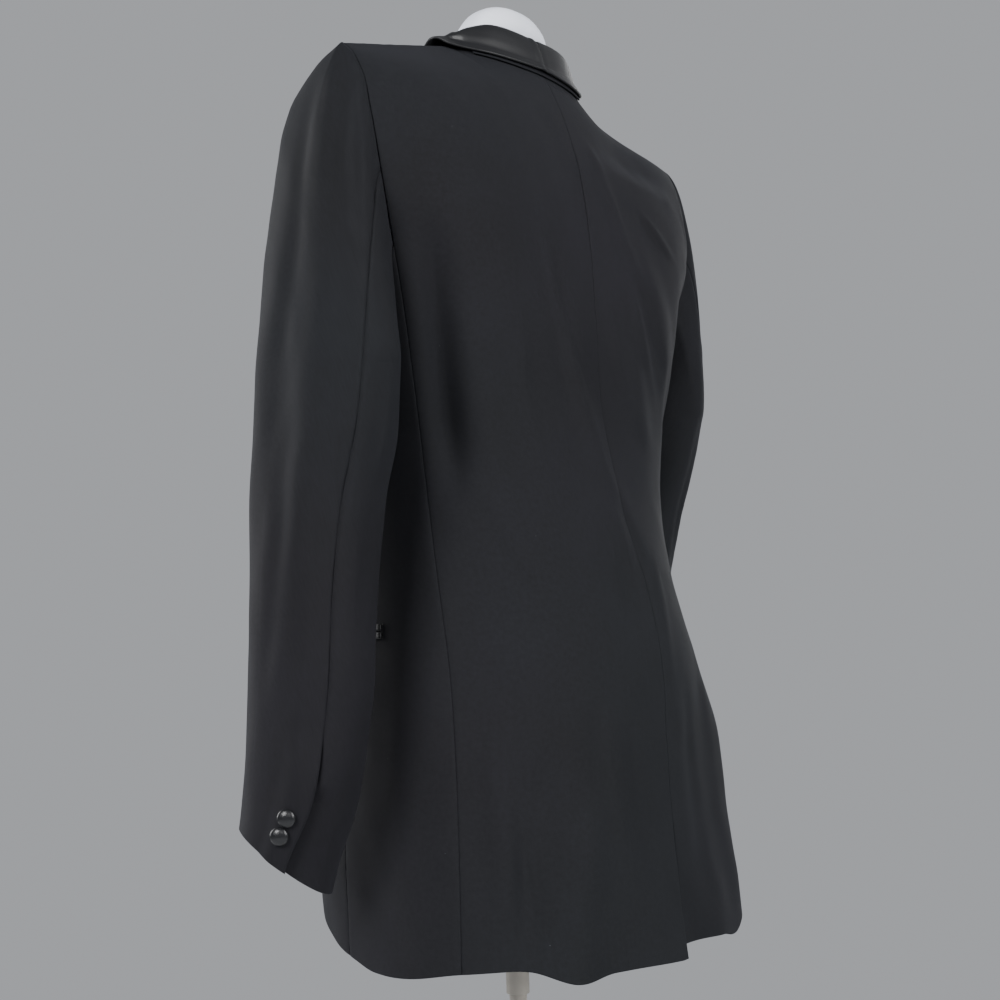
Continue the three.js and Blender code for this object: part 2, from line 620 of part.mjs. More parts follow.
function columnPoint(side, spot, q) {
  return sleevePoint(side, spot, lerp(spot.biceps, spot.cuff, clamp(q - 1, 0, 1)), q);
}

// The point, outward direction and lift at a column of a sleeve. Both halves read the directions from the
// columns on either side, so that their walls run alike at the seams.
function sleeveSpot(side, ring, index, q) {
  const spot = ring[index];
  const before = columnPoint(side, ring[(index - 1 + ring.length) % ring.length], q);
  const after = columnPoint(side, ring[(index + 1) % ring.length], q);
  const down = columnPoint(side, spot, Math.min(q + 0.02, 2));
  down.sub(columnPoint(side, spot, Math.max(q - 0.02, 0)));
  const out = after.sub(before).cross(down).normalize().multiplyScalar(-side);
  const around = lerp(spot.biceps, spot.cuff, clamp(q - 1, 0, 1));
  const lift = sleeveFold(around > 180 ? around - 360 : around, q);
  return { point: columnPoint(side, spot, q), out, lift };
}

// Between two columns, for what is set on the sleeve
function sleevePlace(side, ring, columns) {
  return (u, q) => {
    const at = clamp(u * (columns.length - 1), 0, columns.length - 1);
    const low = Math.min(Math.floor(at), columns.length - 2);
    const a = sleeveSpot(side, ring, columns[low], q);
    const b = sleeveSpot(side, ring, columns[low + 1], q);
    const t = at - low;
    const out = a.out.lerp(b.out, t).normalize();
    return { point: a.point.lerp(b.point, t), out, lift: lerp(a.lift, b.lift, t) };
  };
}

const upperSleevePlaces = {};
for (const side of [LEFT, RIGHT]) {
  const { ring, hind, fore } = sleeveColumns(side);
  const upperColumns = [...ring.keys()].slice(fore).concat([...ring.keys()].slice(0, hind + 1));
  const underColumns = [...ring.keys()].slice(hind, fore + 1);
  const ventLift = (u, q) => CUFF_VENT_LIFT * smoothstep(q, CUFF_VENT_Q - 0.09, CUFF_VENT_Q)
    * smoothstep(u, 0.74, 0.9);
  const upperPlace = sleevePlace(side, ring, upperColumns);
  upperSleevePlaces[side] = (u, q) => {
    const spot = upperPlace(u, q);
    const swing = CUFF_VENT_SWING * smoothstep(q, CUFF_VENT_Q, 2) * smoothstep(u, 0.5, 1);
    const forward = upperPlace(u - 0.05, q).point.sub(spot.point).setLength(swing);
    return { point: spot.point.add(forward), out: spot.out, lift: spot.lift + ventLift(u, q) };
  };
  const upper = clothWall(shares(upperColumns.length - 1), SLEEVE_ROWS, upperSleevePlaces[side]);
  add(`sleeve_${sideName(side)}_upper`, upper, materials.wool);
  const underPlace = sleevePlace(side, ring, underColumns);
  const underlapped = (u, q) => {
    const spot = underPlace(u, q);
    const near = 1 - smoothstep(u, 0, 0.2);
    const reach = CUFF_UNDERLAP * smoothstep(q, CUFF_VENT_Q, CUFF_VENT_Q + 0.05) * near;
    const drawnIn = u === 0 ? 2 * SEAM_GAP : 0;
    const beyond = underPlace(0, q).point.sub(underPlace(0.1, q).point).setLength(reach - drawnIn);
    spot.point.add(beyond).addScaledVector(spot.out, -0.17 * reach);
    return spot;
  };
  const under = clothWall(shares(underColumns.length - 1), SLEEVE_ROWS, underlapped);
  add(`sleeve_${sideName(side)}_under`, under, materials.wool);
}

// Shawl collar. In a section across it, the cloth rises inside the neckline as the stand, folds over and
// falls onto the jacket. On the foreparts it folds over the roll line and lies on the chest as the lapel.
// The table of the neck names, for each share of the back neckline, how high the stand is, how upright, and
// how many levels below the neck seam the fall reaches on either side.
const NECK_STATIONS = [
  { share: 0, stand: 22, upright: 0.8, fallLeft: 11, fallRight: 11 },
  { share: 0.25, stand: 24, upright: 0.8, fallLeft: 10.8, fallRight: 13 },
  { share: 0.5, stand: 23, upright: 0.8, fallLeft: 9.6, fallRight: 13.5 },
  { share: 0.75, stand: 14.5, upright: 0.5, fallLeft: 7.6, fallRight: 9.5 },
  { share: 1, stand: 7, upright: 0.3, fallLeft: 0, fallRight: 0 },
];
const FALL_PAST_NECK_POINT = 0.16;
const LAPEL = [
  { level: LAPEL_END_HEIGHT, width: 15, stand: 2.2 }, { level: 1175, width: 43, stand: 2.2 },
  { level: 1215, width: 61, stand: 2.2 }, { level: 1255, width: 71, stand: 2.2 },
  { level: 1300, width: 75, stand: 2.4 }, { level: 1350, width: 70, stand: 3 },
  { level: 1385, width: 60, stand: 4 }, { level: 1420, width: 45, stand: 4.5 },
  { level: 1446, width: 32, stand: 5 }, { level: 1460, width: 26, stand: 6 },
];
const COLLAR_CLEARANCE = 0.5;
const LAPEL_CLEARANCE = 1.3;
const UNDERCOLLAR_WALL = 1.2;
const UNDERCOLLAR_REACH = 1.3;

// A station of the collar: its seam point, directions and the way its fall lies on the cloth below
function collarStation(place, seam, edge, stand, upright, layered) {
  const at = place(...seam);
  const base = at.point.clone().addScaledVector(at.out, at.lift);
  const lying = (share, lift) => {
    const spot = place(lerp(seam[0], edge[0], share), lerp(seam[1], edge[1], share));
    return spot.point.addScaledVector(spot.out, spot.lift + lift);
  };
  const across = lying(1, 0).sub(base).normalize();
  const rise = across.clone().negate();
  rise.z += upright;
  rise.normalize();
  const face = at.out.clone().addScaledVector(rise, -at.out.dot(rise)).normalize();
  const spot = (up, off) => base.clone().addScaledVector(rise, up).addScaledVector(face, off);
  const corner = face.clone().add(at.out).normalize();
  return { base, across, out: at.out, corner, stand, layered, lying, spot };
}

// The station over a share of the back neckline
function neckStation(side, { share, stand, upright, fallLeft, fallRight }, layered) {
  const seam = [share * NECK_SHARE, TOP_LEVEL];
  const edgeShare = share * (NECK_SHARE + FALL_PAST_NECK_POINT * (1 - NECK_SHARE));
  const edge = [edgeShare, TOP_LEVEL - (side === LEFT ? fallLeft : fallRight)];
  return collarStation(backPlace(side), seam, edge, stand, upright, layered);
}

function collarStations(side) {
  const neck = NECK_STATIONS.map((row) => neckStation(side, row, 1 + 0.5 * row.share ** 2));
  const neckPoint = NECK_STATIONS[NECK_STATIONS.length - 1];
  const lapelAt = columns(LAPEL, "level", ["width", "stand"]);
  const levels = PANEL_LEVELS.filter((level) => level >= LAPEL_END_HEIGHT && level < TOP_LEVEL).reverse();
  const lapel = levels.map((level) => {
    const length = frontSurface[side](1, level).distanceTo(frontSurface[side](0, level));
    const edge = [1 - lapelAt.width(level) / length, level];
    const upright = neckPoint.upright * smoothstep(level, 1385, TOP_LEVEL);
    return collarStation(frontPlace(side), [1, level], edge, lapelAt.stand(level), upright, 0);
  });
  return [...neck, ...lapel];
}

// The middle line of the collar's cloth at a station, from inside the neck over the fold to its outer edge
function collarSection(station) {
  const { base, across, out, corner, stand, layered, lying, spot } = station;
  const inside = CLOTH_WALL + COLLAR_CLEARANCE + 1.6 + COLLAR_WALL / 2;
  const under = layered * (UNDERCOLLAR_WALL + COLLAR_CLEARANCE + 1);
  const outside = (layered > 0 ? COLLAR_CLEARANCE : LAPEL_CLEARANCE) + COLLAR_WALL / 2 + under;
  return [
    base.clone().addScaledVector(across, 1.2).addScaledVector(out, -inside - 0.6),
    base.clone().addScaledVector(out, -inside),
    spot(0.5 * stand, -inside + 0.2),
    spot(stand, -0.78 * inside),
    spot(stand + 2.4, 0),
    spot(0.92 * stand, outside + 0.7),
    spot(0.3 * stand, 0).addScaledVector(corner, outside + 1.5),
    lying(0.3, outside + 0.4),
    lying(0.65, outside + 0.2),
    lying(1, outside),
  ];
}

// A wall of even thickness about a grid of middle points. With squareStart its first row is square to X.
function middleWall(middles, wall, outwardHint, squareStart = false) {
  const rows = middles.length - 1;
  const last = middles[0].length - 1;
  const sides = [0.5, -0.5].map((half) => middles.map((row, r) => row.map((p, c) => {
    const along = middles[Math.min(r + 1, rows)][c].clone().sub(middles[Math.max(r - 1, 0)][c]);
    if (squareStart && r === 0) along.set(along.x, 0, 0);
    const over = row[Math.min(c + 1, last)].clone().sub(row[Math.max(c - 1, 0)]);
    return p.clone().addScaledVector(along.cross(over).normalize(), outwardHint * half * wall);
  })));
  return wallGeometry(trimmed(sides[0]), trimmed(sides[1]));
}

for (const side of [LEFT, RIGHT]) {
  const sections = collarStations(side).map(collarSection);
  add(`shawl_${sideName(side)}`, middleWall(sections, COLLAR_WALL, side, true), materials.satin);
}

// The undercollar, one strip of wool from one neck point to the other between the stand and the fall
function undercollarSection(side, row) {
  const { share } = row;
  const { corner, stand, lying, spot } = neckStation(side, row, 1);
  const lift = COLLAR_CLEARANCE + 0.2 + 0.8 * share ** 2 + UNDERCOLLAR_WALL / 2;
  return [
    spot(1.5 + 3 * share, -0.8),
    spot(0.55 * stand, -0.7),
    spot(stand - 2.4, -0.6),
    spot(stand - 1.2, 0.5),
    spot(0.84 * stand, 1.6),
    spot(0.28 * stand, 0).addScaledVector(corner, lift + 0.4 + 0.3 * share),
    lying(0.5, lift + 0.2 + 0.3 * share),
    lying(lerp(UNDERCOLLAR_REACH, 0.94, share / 0.75), lift + 0.75 * share),
  ];
}

// One half of the strip, which stops a little before its last station
function undercollarHalf(side) {
  const sections = NECK_STATIONS.slice(0, -1).map((row) => undercollarSection(side, row));
  const last = sections.length - 1;
  sections[last] = sections[last].map((p, i) => p.clone().lerp(sections[last - 1][i], 0.3));
  return sections;
}

const underSections = [...undercollarHalf(RIGHT).slice(1).reverse(), ...undercollarHalf(LEFT)];
add("undercollar", middleWall(underSections, UNDERCOLLAR_WALL, 1), materials.wool);

// Covered buttons: satin drawn over a domed shell, flat below
const FRONT_BUTTON = { radius: 10, height: 7 };
const CUFF_BUTTON = { radius: 7, height: 5.5 };
const BUTTON_CLEARANCE = 0.55;

function buttonGeometry({ radius, height }) {
  const rim = height * 0.28;
  const foot = new THREE.Vector2(radius * 0.86, 0);
  const profile = [new THREE.Vector2(0, 0), foot, new THREE.Vector2(radius, rim)];
  for (const step of [1, 2, 3]) {
    const turn = (step * Math.PI) / 8;
    profile.push(new THREE.Vector2(radius * Math.cos(turn), rim + (height - rim) * Math.sin(turn)));
  }
  profile.push(new THREE.Vector2(0, height));
  return turned(profile, 14);
}

// A closed body of revolution about +Z. Its profile starts and ends on the axis, or closes on itself.
function turned(profile, segments) {
  const positions = [];
  const rings = profile.map((p) => {
    if (p.x < 1e-9) {
      positions.push(0, 0, p.y);
      return [positions.length / 3 - 1];
    }
    const ring = [];
    for (let i = 0; i < segments; i += 1) {
      const turn = (2 * Math.PI * i) / segments;
      positions.push(p.x * Math.cos(turn), p.x * Math.sin(turn), p.y);
      ring.push(positions.length / 3 - 1);
    }
    return ring;
  });
  if (rings[0].length > 1) rings.push(rings[0]);
  return closedGeometry(positions, ringFaces(rings, segments));
}

// Faces between neighbouring rings of points. A ring of one point is a pole.
function ringFaces(rings, segments) {
  const index = [];
  for (let r = 0; r < rings.length - 1; r += 1) {
    const low = rings[r];
    const high = rings[r + 1];
    for (let i = 0; i < segments; i += 1) {
      const j = (i + 1) % segments;
      if (low.length > 1) index.push(low[i], low[j], high[high.length > 1 ? j : 0]);
      if (high.length > 1) index.push(low.length > 1 ? low[i] : low[0], high[j], high[i]);
    }
  }
  return index;
}

// Sets a piece whose own axis is +Z upon a point of the cloth, facing outwards
function setOn(geometry, point, out) {
  geometry.applyQuaternion(new THREE.Quaternion().setFromUnitVectors(new THREE.Vector3(0, 0, 1), out));
  geometry.translate(point.x, point.y, point.z);
  return geometry;
}

// A button on the cloth at (u, v), clear of the highest cloth beneath it
function buttonOn(place, u, v, size) {
  const at = place(u, v);
  const foot = at.point.clone().addScaledVector(at.out, at.lift);
  let high = 0;
  for (const stepU of [-0.06, 0, 0.06]) {
    for (const stepV of [-0.02, 0, 0.02]) {
      const near = place(clamp(u + stepU, 0, 1), v + stepV * (v > 2 ? 500 : 1));
      const spot = near.point.addScaledVector(near.out, near.lift).sub(foot);
      if (spot.length() < 1.4 * size.radius) high = Math.max(high, spot.dot(at.out));
    }
  }
  foot.addScaledVector(at.out, high + BUTTON_CLEARANCE);
  return setOn(buttonGeometry(size), foot, at.out);
}

add("front_button", buttonOn(frontPlace(LEFT), 0.93, FRONT_BUTTON_HEIGHT, FRONT_BUTTON), materials.satin);

// The two cuff buttons of a sleeve stand beside the vent, on the upper sleeve
const CUFF_BUTTONS = [{ name: "top", q: 1.9, ahead: 13.5 }, { name: "low", q: 1.942, ahead: 12 }];

function cuffButtons(side, place) {
  for (const { name, q, ahead } of CUFF_BUTTONS) {
    const hem = place(1, q);
    const next = place(0.8, q);
    const share = 1 - (0.2 * ahead) / hem.point.distanceTo(next.point);
    add(`cuff_button_${sideName(side)}_${name}`, buttonOn(place, share, q, CUFF_BUTTON), materials.satin);
  }
}

for (const side of [LEFT, RIGHT]) cuffButtons(side, upperSleevePlaces[side]);

// Hip pockets: each has an upper and a lower jet, narrow strips that lie over the side body and the forepart
const POCKET = { height: 1002, fromSide: 0.5, toFront: 0.5, jet: 5.5, gap: 0.8, wall: 1.5, clearance: 0.8 };
const POCKET_COLUMNS = 10;

// Points along the body at one level, from the side back seam towards the front edge
function girth(side, level) {
  const spots = [];
  const sideOf = sidePlace(side);
  const frontOf = frontPlace(side);
  const sideShares = shares(10).filter((u) => u >= POCKET.fromSide);
  const frontShares = shares(20).filter((u) => u > 0 && u <= POCKET.toFront);
  for (const u of sideShares) spots.push(sideOf(u, panelLevelAt(u, level)));
  for (const u of frontShares) spots.push(frontOf(u, level));
  return spots;
}

function alongGirth(spots, share) {
  const lengths = [0];
  for (let i = 1; i < spots.length; i += 1) {
    lengths.push(lengths[i - 1] + spots[i].point.distanceTo(spots[i - 1].point));
  }
  const target = share * lengths[lengths.length - 1];
  let i = 0;
  while (i < spots.length - 2 && lengths[i + 1] < target) i += 1;
  const t = clamp((target - lengths[i]) / (lengths[i + 1] - lengths[i]), 0, 1);
  return {
    point: spots[i].point.clone().lerp(spots[i + 1].point, t),
    out: spots[i].out.clone().lerp(spots[i + 1].out, t).normalize(),
    lift: lerp(spots[i].lift, spots[i + 1].lift, t),
  };
}

for (const side of [LEFT, RIGHT]) {
  for (const [name, sign] of [["upper", 1], ["lower", -1]]) {
    const middle = POCKET.height + (sign * (POCKET.jet + POCKET.gap)) / 2;
    const levels = [middle - POCKET.jet / 2, middle + POCKET.jet / 2];
    const rows = levels.map((level) => girth(side, level));
    const grid = (lift) => rows.map((spots) => shares(POCKET_COLUMNS).map((u) => {
      const at = alongGirth(spots, u);
      return at.point.addScaledVector(at.out, at.lift + lift);
    }));
    const geometry = wallGeometry(grid(POCKET.clearance + POCKET.wall), grid(POCKET.clearance));
    add(`pocket_jet_${sideName(side)}_${name}`, geometry, materials.satin);
  }
}

// Dress form: a smooth limbless torso with a neck. Each row is a level section, halfX wide to each side,
// from front to back. Its shoulders follow the jacket's shoulder seams a little below them.
const FORM_ROWS = [
  { z: 806, halfX: 60, back: 60, front: -55 }, { z: 808, halfX: 128, back: 104, front: -92 },
  { z: 822, halfX: 146, back: 122, front: -104 }, { z: 870, halfX: 152, back: 126, front: -108 },
  { z: 930, halfX: 149, back: 122, front: -108 }, { z: 990, halfX: 138, back: 112, front: -104 },
  { z: 1050, halfX: 127, back: 98, front: -100 }, { z: 1115, halfX: 126, back: 92, front: -100 },
  { z: 1180, halfX: 136, back: 90, front: -106 }, { z: 1240, halfX: 152, back: 91, front: -109 },
  { z: 1300, halfX: 172, back: 91, front: -106 }, { z: 1350, halfX: 190, back: 88, front: -97 },
  { z: 1390, halfX: 203, back: 82, front: -82 }, { z: 1420, halfX: 208, back: 74, front: -62 },
];
const FORM_SHOULDER_SHARES = [0.86, 0.7, 0.52, 0.36, 0.22];
const FORM_SHOULDER_DEPTHS = { back: [49, 46, 44, 42, 40], front: [-14, -14, -14, -18, -24] };
const FORM_NECK = [
  { z: 1481, halfX: 70, middle: 8, back: 39, front: -28 },
  { z: 1493, halfX: 62, middle: 13, back: 39, front: -26 },
  { z: 1507, halfX: 57, middle: 18, back: 42, front: -20 },
  { z: 1519, halfX: 54, middle: 20, back: 44, front: -15 },
  { z: 1529, halfX: 50, middle: 22, back: 46, front: -8 },
  { z: 1538, halfX: 43, middle: 23, back: 44, front: -1 },
  { z: 1545, halfX: 31, middle: 24, back: 40, front: 8 },
  { z: 1549.5, halfX: 16, middle: 24, back: 33, front: 15 },
];
const SHOULDER_CLEARANCE = 2.3;
const SHOULDER_FALL = 10;
const FORM_SEGMENTS = 28;
const FORM_ROUNDNESS = 0.88;

function formRows() {
  const rows = FORM_ROWS.map((row) => ({ ...row, middle: 8, sideZ: row.z }));
  FORM_SHOULDER_SHARES.forEach((share, i) => {
    const left = shoulderSeam(LEFT, share);
    const right = shoulderSeam(RIGHT, share);
    const low = Math.min(left.z, right.z) - CLOTH_WALL - SHOULDER_CLEARANCE;
    rows.push({
      z: low - SHOULDER_FALL, sideZ: low, halfX: left.x, middle: left.y,
      back: FORM_SHOULDER_DEPTHS.back[i], front: FORM_SHOULDER_DEPTHS.front[i],
    });
  });
  FORM_NECK.forEach((row) => rows.push({ ...row, sideZ: row.z }));
  return rows;
}

function formTorso() {
  const positions = [];
  const rings = [];
  for (const row of formRows()) {
    const ring = [];
    for (let i = 0; i < FORM_SEGMENTS; i += 1) {
      const turn = (2 * Math.PI * i) / FORM_SEGMENTS;
      const sideways = Math.sign(Math.cos(turn)) * Math.abs(Math.cos(turn)) ** FORM_ROUNDNESS;
      const forward = Math.sign(Math.sin(turn)) * Math.abs(Math.sin(turn)) ** FORM_ROUNDNESS;
      const depth = forward > 0 ? row.back - row.middle : row.middle - row.front;
      const height = lerp(row.z, row.sideZ, sideways ** 2);
      positions.push(row.halfX * sideways, row.middle + depth * forward, height);
      ring.push(positions.length / 3 - 1);
    }
    rings.push(ring);
  }
  const lowest = formRows()[0];
  const highest = formRows()[formRows().length - 1];
  positions.push(0, (lowest.back + lowest.front) / 2, lowest.z);
  rings.unshift([positions.length / 3 - 1]);
  positions.push(0, (highest.back + highest.front) / 2, highest.z + 1);
  rings.push([positions.length / 3 - 1]);
  return closedGeometry(positions, ringFaces(rings, FORM_SEGMENTS));
}

add("form_torso", formTorso(), materials.form);

// Stand: a tube under the torso, a pole inside it and a round plate on the floor
const POLE_RADIUS = 7.5;
const TUBE_RADIUS = 10;
const TUBE_BOTTOM = 689;
const BASE = { radius: 150, edge: 6, height: 11, bevel: 2 };
const FIT_GAP = 0.3;
const ROUND_SEGMENTS = 24;

const tubeTop = FORM_ROWS[0].z - FIT_GAP;
const tube = [[POLE_RADIUS + FIT_GAP, TUBE_BOTTOM], [TUBE_RADIUS, TUBE_BOTTOM], [TUBE_RADIUS, tubeTop],
  [POLE_RADIUS + FIT_GAP, tubeTop]];
add("form_tube", turned(tube.map(([r, z]) => new THREE.Vector2(r, z)), ROUND_SEGMENTS), materials.steel);

const poleBottom = BASE.height + FIT_GAP;
const pole = [[0, poleBottom], [POLE_RADIUS, poleBottom], [POLE_RADIUS, tubeTop], [0, tubeTop]];
add("form_pole", turned(pole.map(([r, z]) => new THREE.Vector2(r, z)), ROUND_SEGMENTS), materials.steel);

const rimInside = BASE.radius - BASE.bevel;
const plate = [[0, 0], [rimInside, 0], [BASE.radius, BASE.bevel], [BASE.radius, BASE.edge - BASE.bevel],
  [rimInside, BASE.edge], [40, BASE.height], [0, BASE.height]];
add("form_base", turned(plate.map(([r, z]) => new THREE.Vector2(r, z)), 40), materials.steel);

export default object;
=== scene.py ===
import math

import bpy
import numpy as np
from mathutils import Matrix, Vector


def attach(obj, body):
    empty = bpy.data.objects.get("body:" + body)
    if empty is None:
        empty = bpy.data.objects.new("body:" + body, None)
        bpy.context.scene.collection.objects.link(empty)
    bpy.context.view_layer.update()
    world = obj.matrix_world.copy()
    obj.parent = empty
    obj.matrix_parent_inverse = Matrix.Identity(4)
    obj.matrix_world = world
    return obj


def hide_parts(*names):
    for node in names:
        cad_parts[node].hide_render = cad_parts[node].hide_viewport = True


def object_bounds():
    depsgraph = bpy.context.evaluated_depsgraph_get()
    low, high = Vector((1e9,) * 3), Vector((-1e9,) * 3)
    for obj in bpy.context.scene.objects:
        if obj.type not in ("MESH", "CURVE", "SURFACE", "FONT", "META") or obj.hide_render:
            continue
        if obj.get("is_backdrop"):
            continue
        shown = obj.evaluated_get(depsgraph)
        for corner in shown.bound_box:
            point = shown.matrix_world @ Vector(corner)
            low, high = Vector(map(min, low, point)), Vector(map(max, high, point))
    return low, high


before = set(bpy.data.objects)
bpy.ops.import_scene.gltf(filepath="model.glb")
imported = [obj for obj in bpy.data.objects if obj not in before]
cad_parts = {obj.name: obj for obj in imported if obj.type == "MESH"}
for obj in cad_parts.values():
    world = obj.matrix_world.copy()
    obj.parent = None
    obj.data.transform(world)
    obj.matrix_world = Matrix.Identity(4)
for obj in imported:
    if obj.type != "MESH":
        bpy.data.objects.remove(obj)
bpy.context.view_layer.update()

LEFT = 1
RIGHT = -1
SIDES = {LEFT: "left", RIGHT: "right"}


# Backs. Two panels of fine black wool, cut to shape and sewn together down the centre back. Below the
# waist the centre seam opens into a vent, whose left edge lies over the right one.
CLOTH_WALL = 2.0
HEM_HEIGHT = 735
TOP_LEVEL = 1470
SEAM_MEETS_ARMHOLE = 1298
NECK_BACK = {"y": 57, "z": 1493}
NECK_POINT = {"x": 82, "y": 22, "z": 1499}
SHOULDER_TIP = {"x": 229, "y": 34, LEFT: 1459, RIGHT: 1452}
SHOULDER_DIP = {LEFT: 0.5, RIGHT: 9}
NECK_SHARE = 0.36
BACK_WIDTH = 205
BODY_CENTRE = np.array([0.0, 10.0])


def table(names, rows):
    return dict(zip(names.split(), np.array(rows, float).T))


# Level by level: the centre back, how far its seam hangs to the left, then the outer edge of the back and
# of the forepart with how far the cloth has turned there from facing straight back, and the centre front
BODY = table(
    "level centre_z centre_y drift back_x back_y back_z back_turn front_x front_y front_z front_turn chest_y chest_z", [
        (735, 735, 166, -6, 182, 84, 735, 70, 178, -32, 735, 106, -152, 735),
        (815, 815, 161, -5, 177, 81, 815, 68, 173, -38, 815, 109, -146, 815),
        (895, 895, 155, -9, 172, 77, 895, 66, 166, -42, 895, 113, -136, 895),
        (970, 970, 146, -21, 165, 68, 970, 65, 160, -48, 970, 114, -131, 970),
        (1040, 1040, 129, -27, 157, 53, 1040, 64, 152, -51, 1040, 116, -125, 1040),
        (1115, 1115, 113, -12, 161, 47, 1115, 65, 156, -50, 1115, 116, -124, 1115),
        (1190, 1190, 108, 0, 174, 49, 1190, 64, 168, -47, 1190, 114, -128, 1190),
        (1250, 1250, 108, 0, 191, 55, 1250, 60, 183, -43, 1250, 113, -128, 1250),
        (1298, 1298, 106, 0, 207, 60, 1298, 52, 199, -37, 1290, 118, -125, 1300),
        (1340, 1345, 103, 0, 222, 65, 1340, 42, 208, -44, 1335, 128, -118, 1345),
        (1385, 1393, 96, 0, 230, 64, 1385, 32, 217, -40, 1383, 140, -98, 1395),
        (1422, 1438, 83, 0, 231, 57, 1424, 24, 224, -22, 1424, 150, -70, 1448),
        (1446, 1471, 69, 0, 230, 47, 1446, 14, 228, 6, 1446, 162, -40, 1484),
    ])
LEVEL_COUNT = len(BODY["level"])


def smoothstep(x, low, high):
    t = np.clip((np.asarray(x, float) - low) / (high - low), 0, 1)
    return t * t * (3 - 2 * t)


def lerp(a, b, t):
    return a + (b - a) * t


def unit(v):
    return v / np.maximum(np.linalg.norm(v, axis=-1, keepdims=True), 1e-9)


def stack(x, y, z):
    return np.stack(np.broadcast_arrays(x, y, z), axis=-1).astype(float)


# A smooth curve through values at rising knots. With values as rows of points, each column has its own.
def spline(knots, values, at):
    knots, values, at = (np.asarray(a, float) for a in (knots, values, at))
    last = len(knots) - 1
    low = np.maximum(np.arange(last + 1) - 1, 0)
    high = np.minimum(np.arange(last + 1) + 1, last)
    slopes = (values[high] - values[low]) / (knots[high] - knots[low]).reshape((-1,) + (1,) * (values.ndim - 1))
    i = np.searchsorted(knots[1:last], at, side="left")
    span = knots[i + 1] - knots[i]
    t = (at - knots[i]) / span
    if values.ndim == 1:
        a, b, slope_a, slope_b = values[i], values[i + 1], slopes[i], slopes[i + 1]
    else:
        index = i[None, ..., None]
        a, b = (np.take_along_axis(values, index + k, 0)[0] for k in (0, 1))
        slope_a, slope_b = (np.take_along_axis(slopes, index + k, 0)[0] for k in (0, 1))
        t, span = t[..., None], span[..., None]
    t2, t3 = t * t, t * t * t
    return ((2 * t3 - 3 * t2 + 1) * a + (t3 - 2 * t2 + t) * span * slope_a
            + (3 * t2 - 2 * t3) * b + (t3 - t2) * span * slope_b)


# A cubic arc between two points that leaves and arrives along given directions
def arc(start, leave, end, arrive, t):
    reach = np.linalg.norm(end - start)
    bend = math.acos(max(-1.0, min(1.0, float(np.dot(leave, arrive)))))
    pull = reach if bend < 0.01 else 2 * reach * math.tan(bend / 4) / math.sin(bend / 2)
    t = np.asarray(t, float)[..., None]
    t2, t3 = t * t, t * t * t
    return ((2 * t3 - 3 * t2 + 1) * start + (t3 - 2 * t2 + t) * pull * leave
            + (3 * t2 - 2 * t3) * end + (t3 - t2) * pull * arrive)


def heading(side, turn):
    return np.array([side * math.cos(math.radians(turn)), -math.sin(math.radians(turn)), 0.0])


def shoulder_seam(side, share):
    share = np.asarray(share, float)
    dip = SHOULDER_DIP[side] * np.sin(math.pi * np.sqrt(np.clip(share, 0, 1)))
    return stack(
        side * lerp(NECK_POINT["x"], SHOULDER_TIP["x"], share),
        lerp(NECK_POINT["y"], SHOULDER_TIP["y"], share),
        lerp(NECK_POINT["z"], SHOULDER_TIP[side], share) - dip)


def back_neckline(side, share):
    turn = np.asarray(share, float) * math.pi / 2
    return stack(
        side * NECK_POINT["x"] * np.sin(turn),
        lerp(NECK_POINT["y"], NECK_BACK["y"], np.cos(turn)),
        lerp(NECK_BACK["z"], NECK_POINT["z"], share * share))


def back_surface(side, u, level):
    u, level = np.broadcast_arrays(np.asarray(u, float), np.asarray(level, float))
    rows = []
    for k in range(LEVEL_COUNT):
        row = {name: values[k] for name, values in BODY.items()}
        start = np.array([row["drift"], row["centre_y"], row["centre_z"]])
        end = np.array([side * row["back_x"], row["back_y"], row["back_z"]])
        rows.append(arc(start, heading(side, 0), end, heading(side, row["back_turn"]), u))
    neck = back_neckline(side, np.minimum(u / NECK_SHARE, 1))
    shoulder = shoulder_seam(side, np.maximum((u - NECK_SHARE) / (1 - NECK_SHARE), 0))
    rows.append(np.where((u <= NECK_SHARE)[..., None], neck, shoulder))
    return spline([*BODY["level"], TOP_LEVEL], rows, level)


# The outward direction of a surface. Inside is the body's axis, a little lower down.
def outward(surface, side, u, v, drop):
    along = surface(side, np.clip(u + 0.01, 0, 1), v) - surface(side, np.clip(u - 0.01, 0, 1), v)
    up = surface(side, u, v + 1) - surface(side, u, v - 1)
    normal = unit(np.cross(along, up))
    point = surface(side, u, v)
    away = stack(point[..., 0] - BODY_CENTRE[0], point[..., 1] - BODY_CENTRE[1], drop)
    return np.where((normal * away).sum(-1, keepdims=True) < 0, -normal, normal)


# Near the shoulder seam the cloth of both panels faces the way the ridge does
def ridge_out(side, out, share, level):
    near = smoothstep(level, 1446, TOP_LEVEL) * np.clip(1 + share * (1 - NECK_SHARE) / NECK_SHARE, 0, 1)
    along = shoulder_seam(side, np.clip(share + 0.05, 0.1, 1)) - shoulder_seam(side, np.clip(share - 0.05, 0, 0.9))
    along = unit(along)
    ridge = unit(stack(0, 0, 1) - along * along[..., 2:])
    return unit(lerp(out, ridge, near[..., None]))


# How far the hem stands above its level, by the direction round the body: 0 is back, 90 is the side
HEM_LINE = table("around rise", [
    (0, -4), (28, 0), (40, -3), (50, 9), (65, 9), (79, 3), (90, 4), (97, 10), (104, 16), (112, 20), (180, 20)])


def hem_rise(point, level):
    around = np.degrees(np.arctan2(np.abs(point[..., 0]), point[..., 1]))
    rise = spline(HEM_LINE["around"], HEM_LINE["rise"], around)
    return rise * (1 - smoothstep(level, HEM_HEIGHT, HEM_HEIGHT + 130))


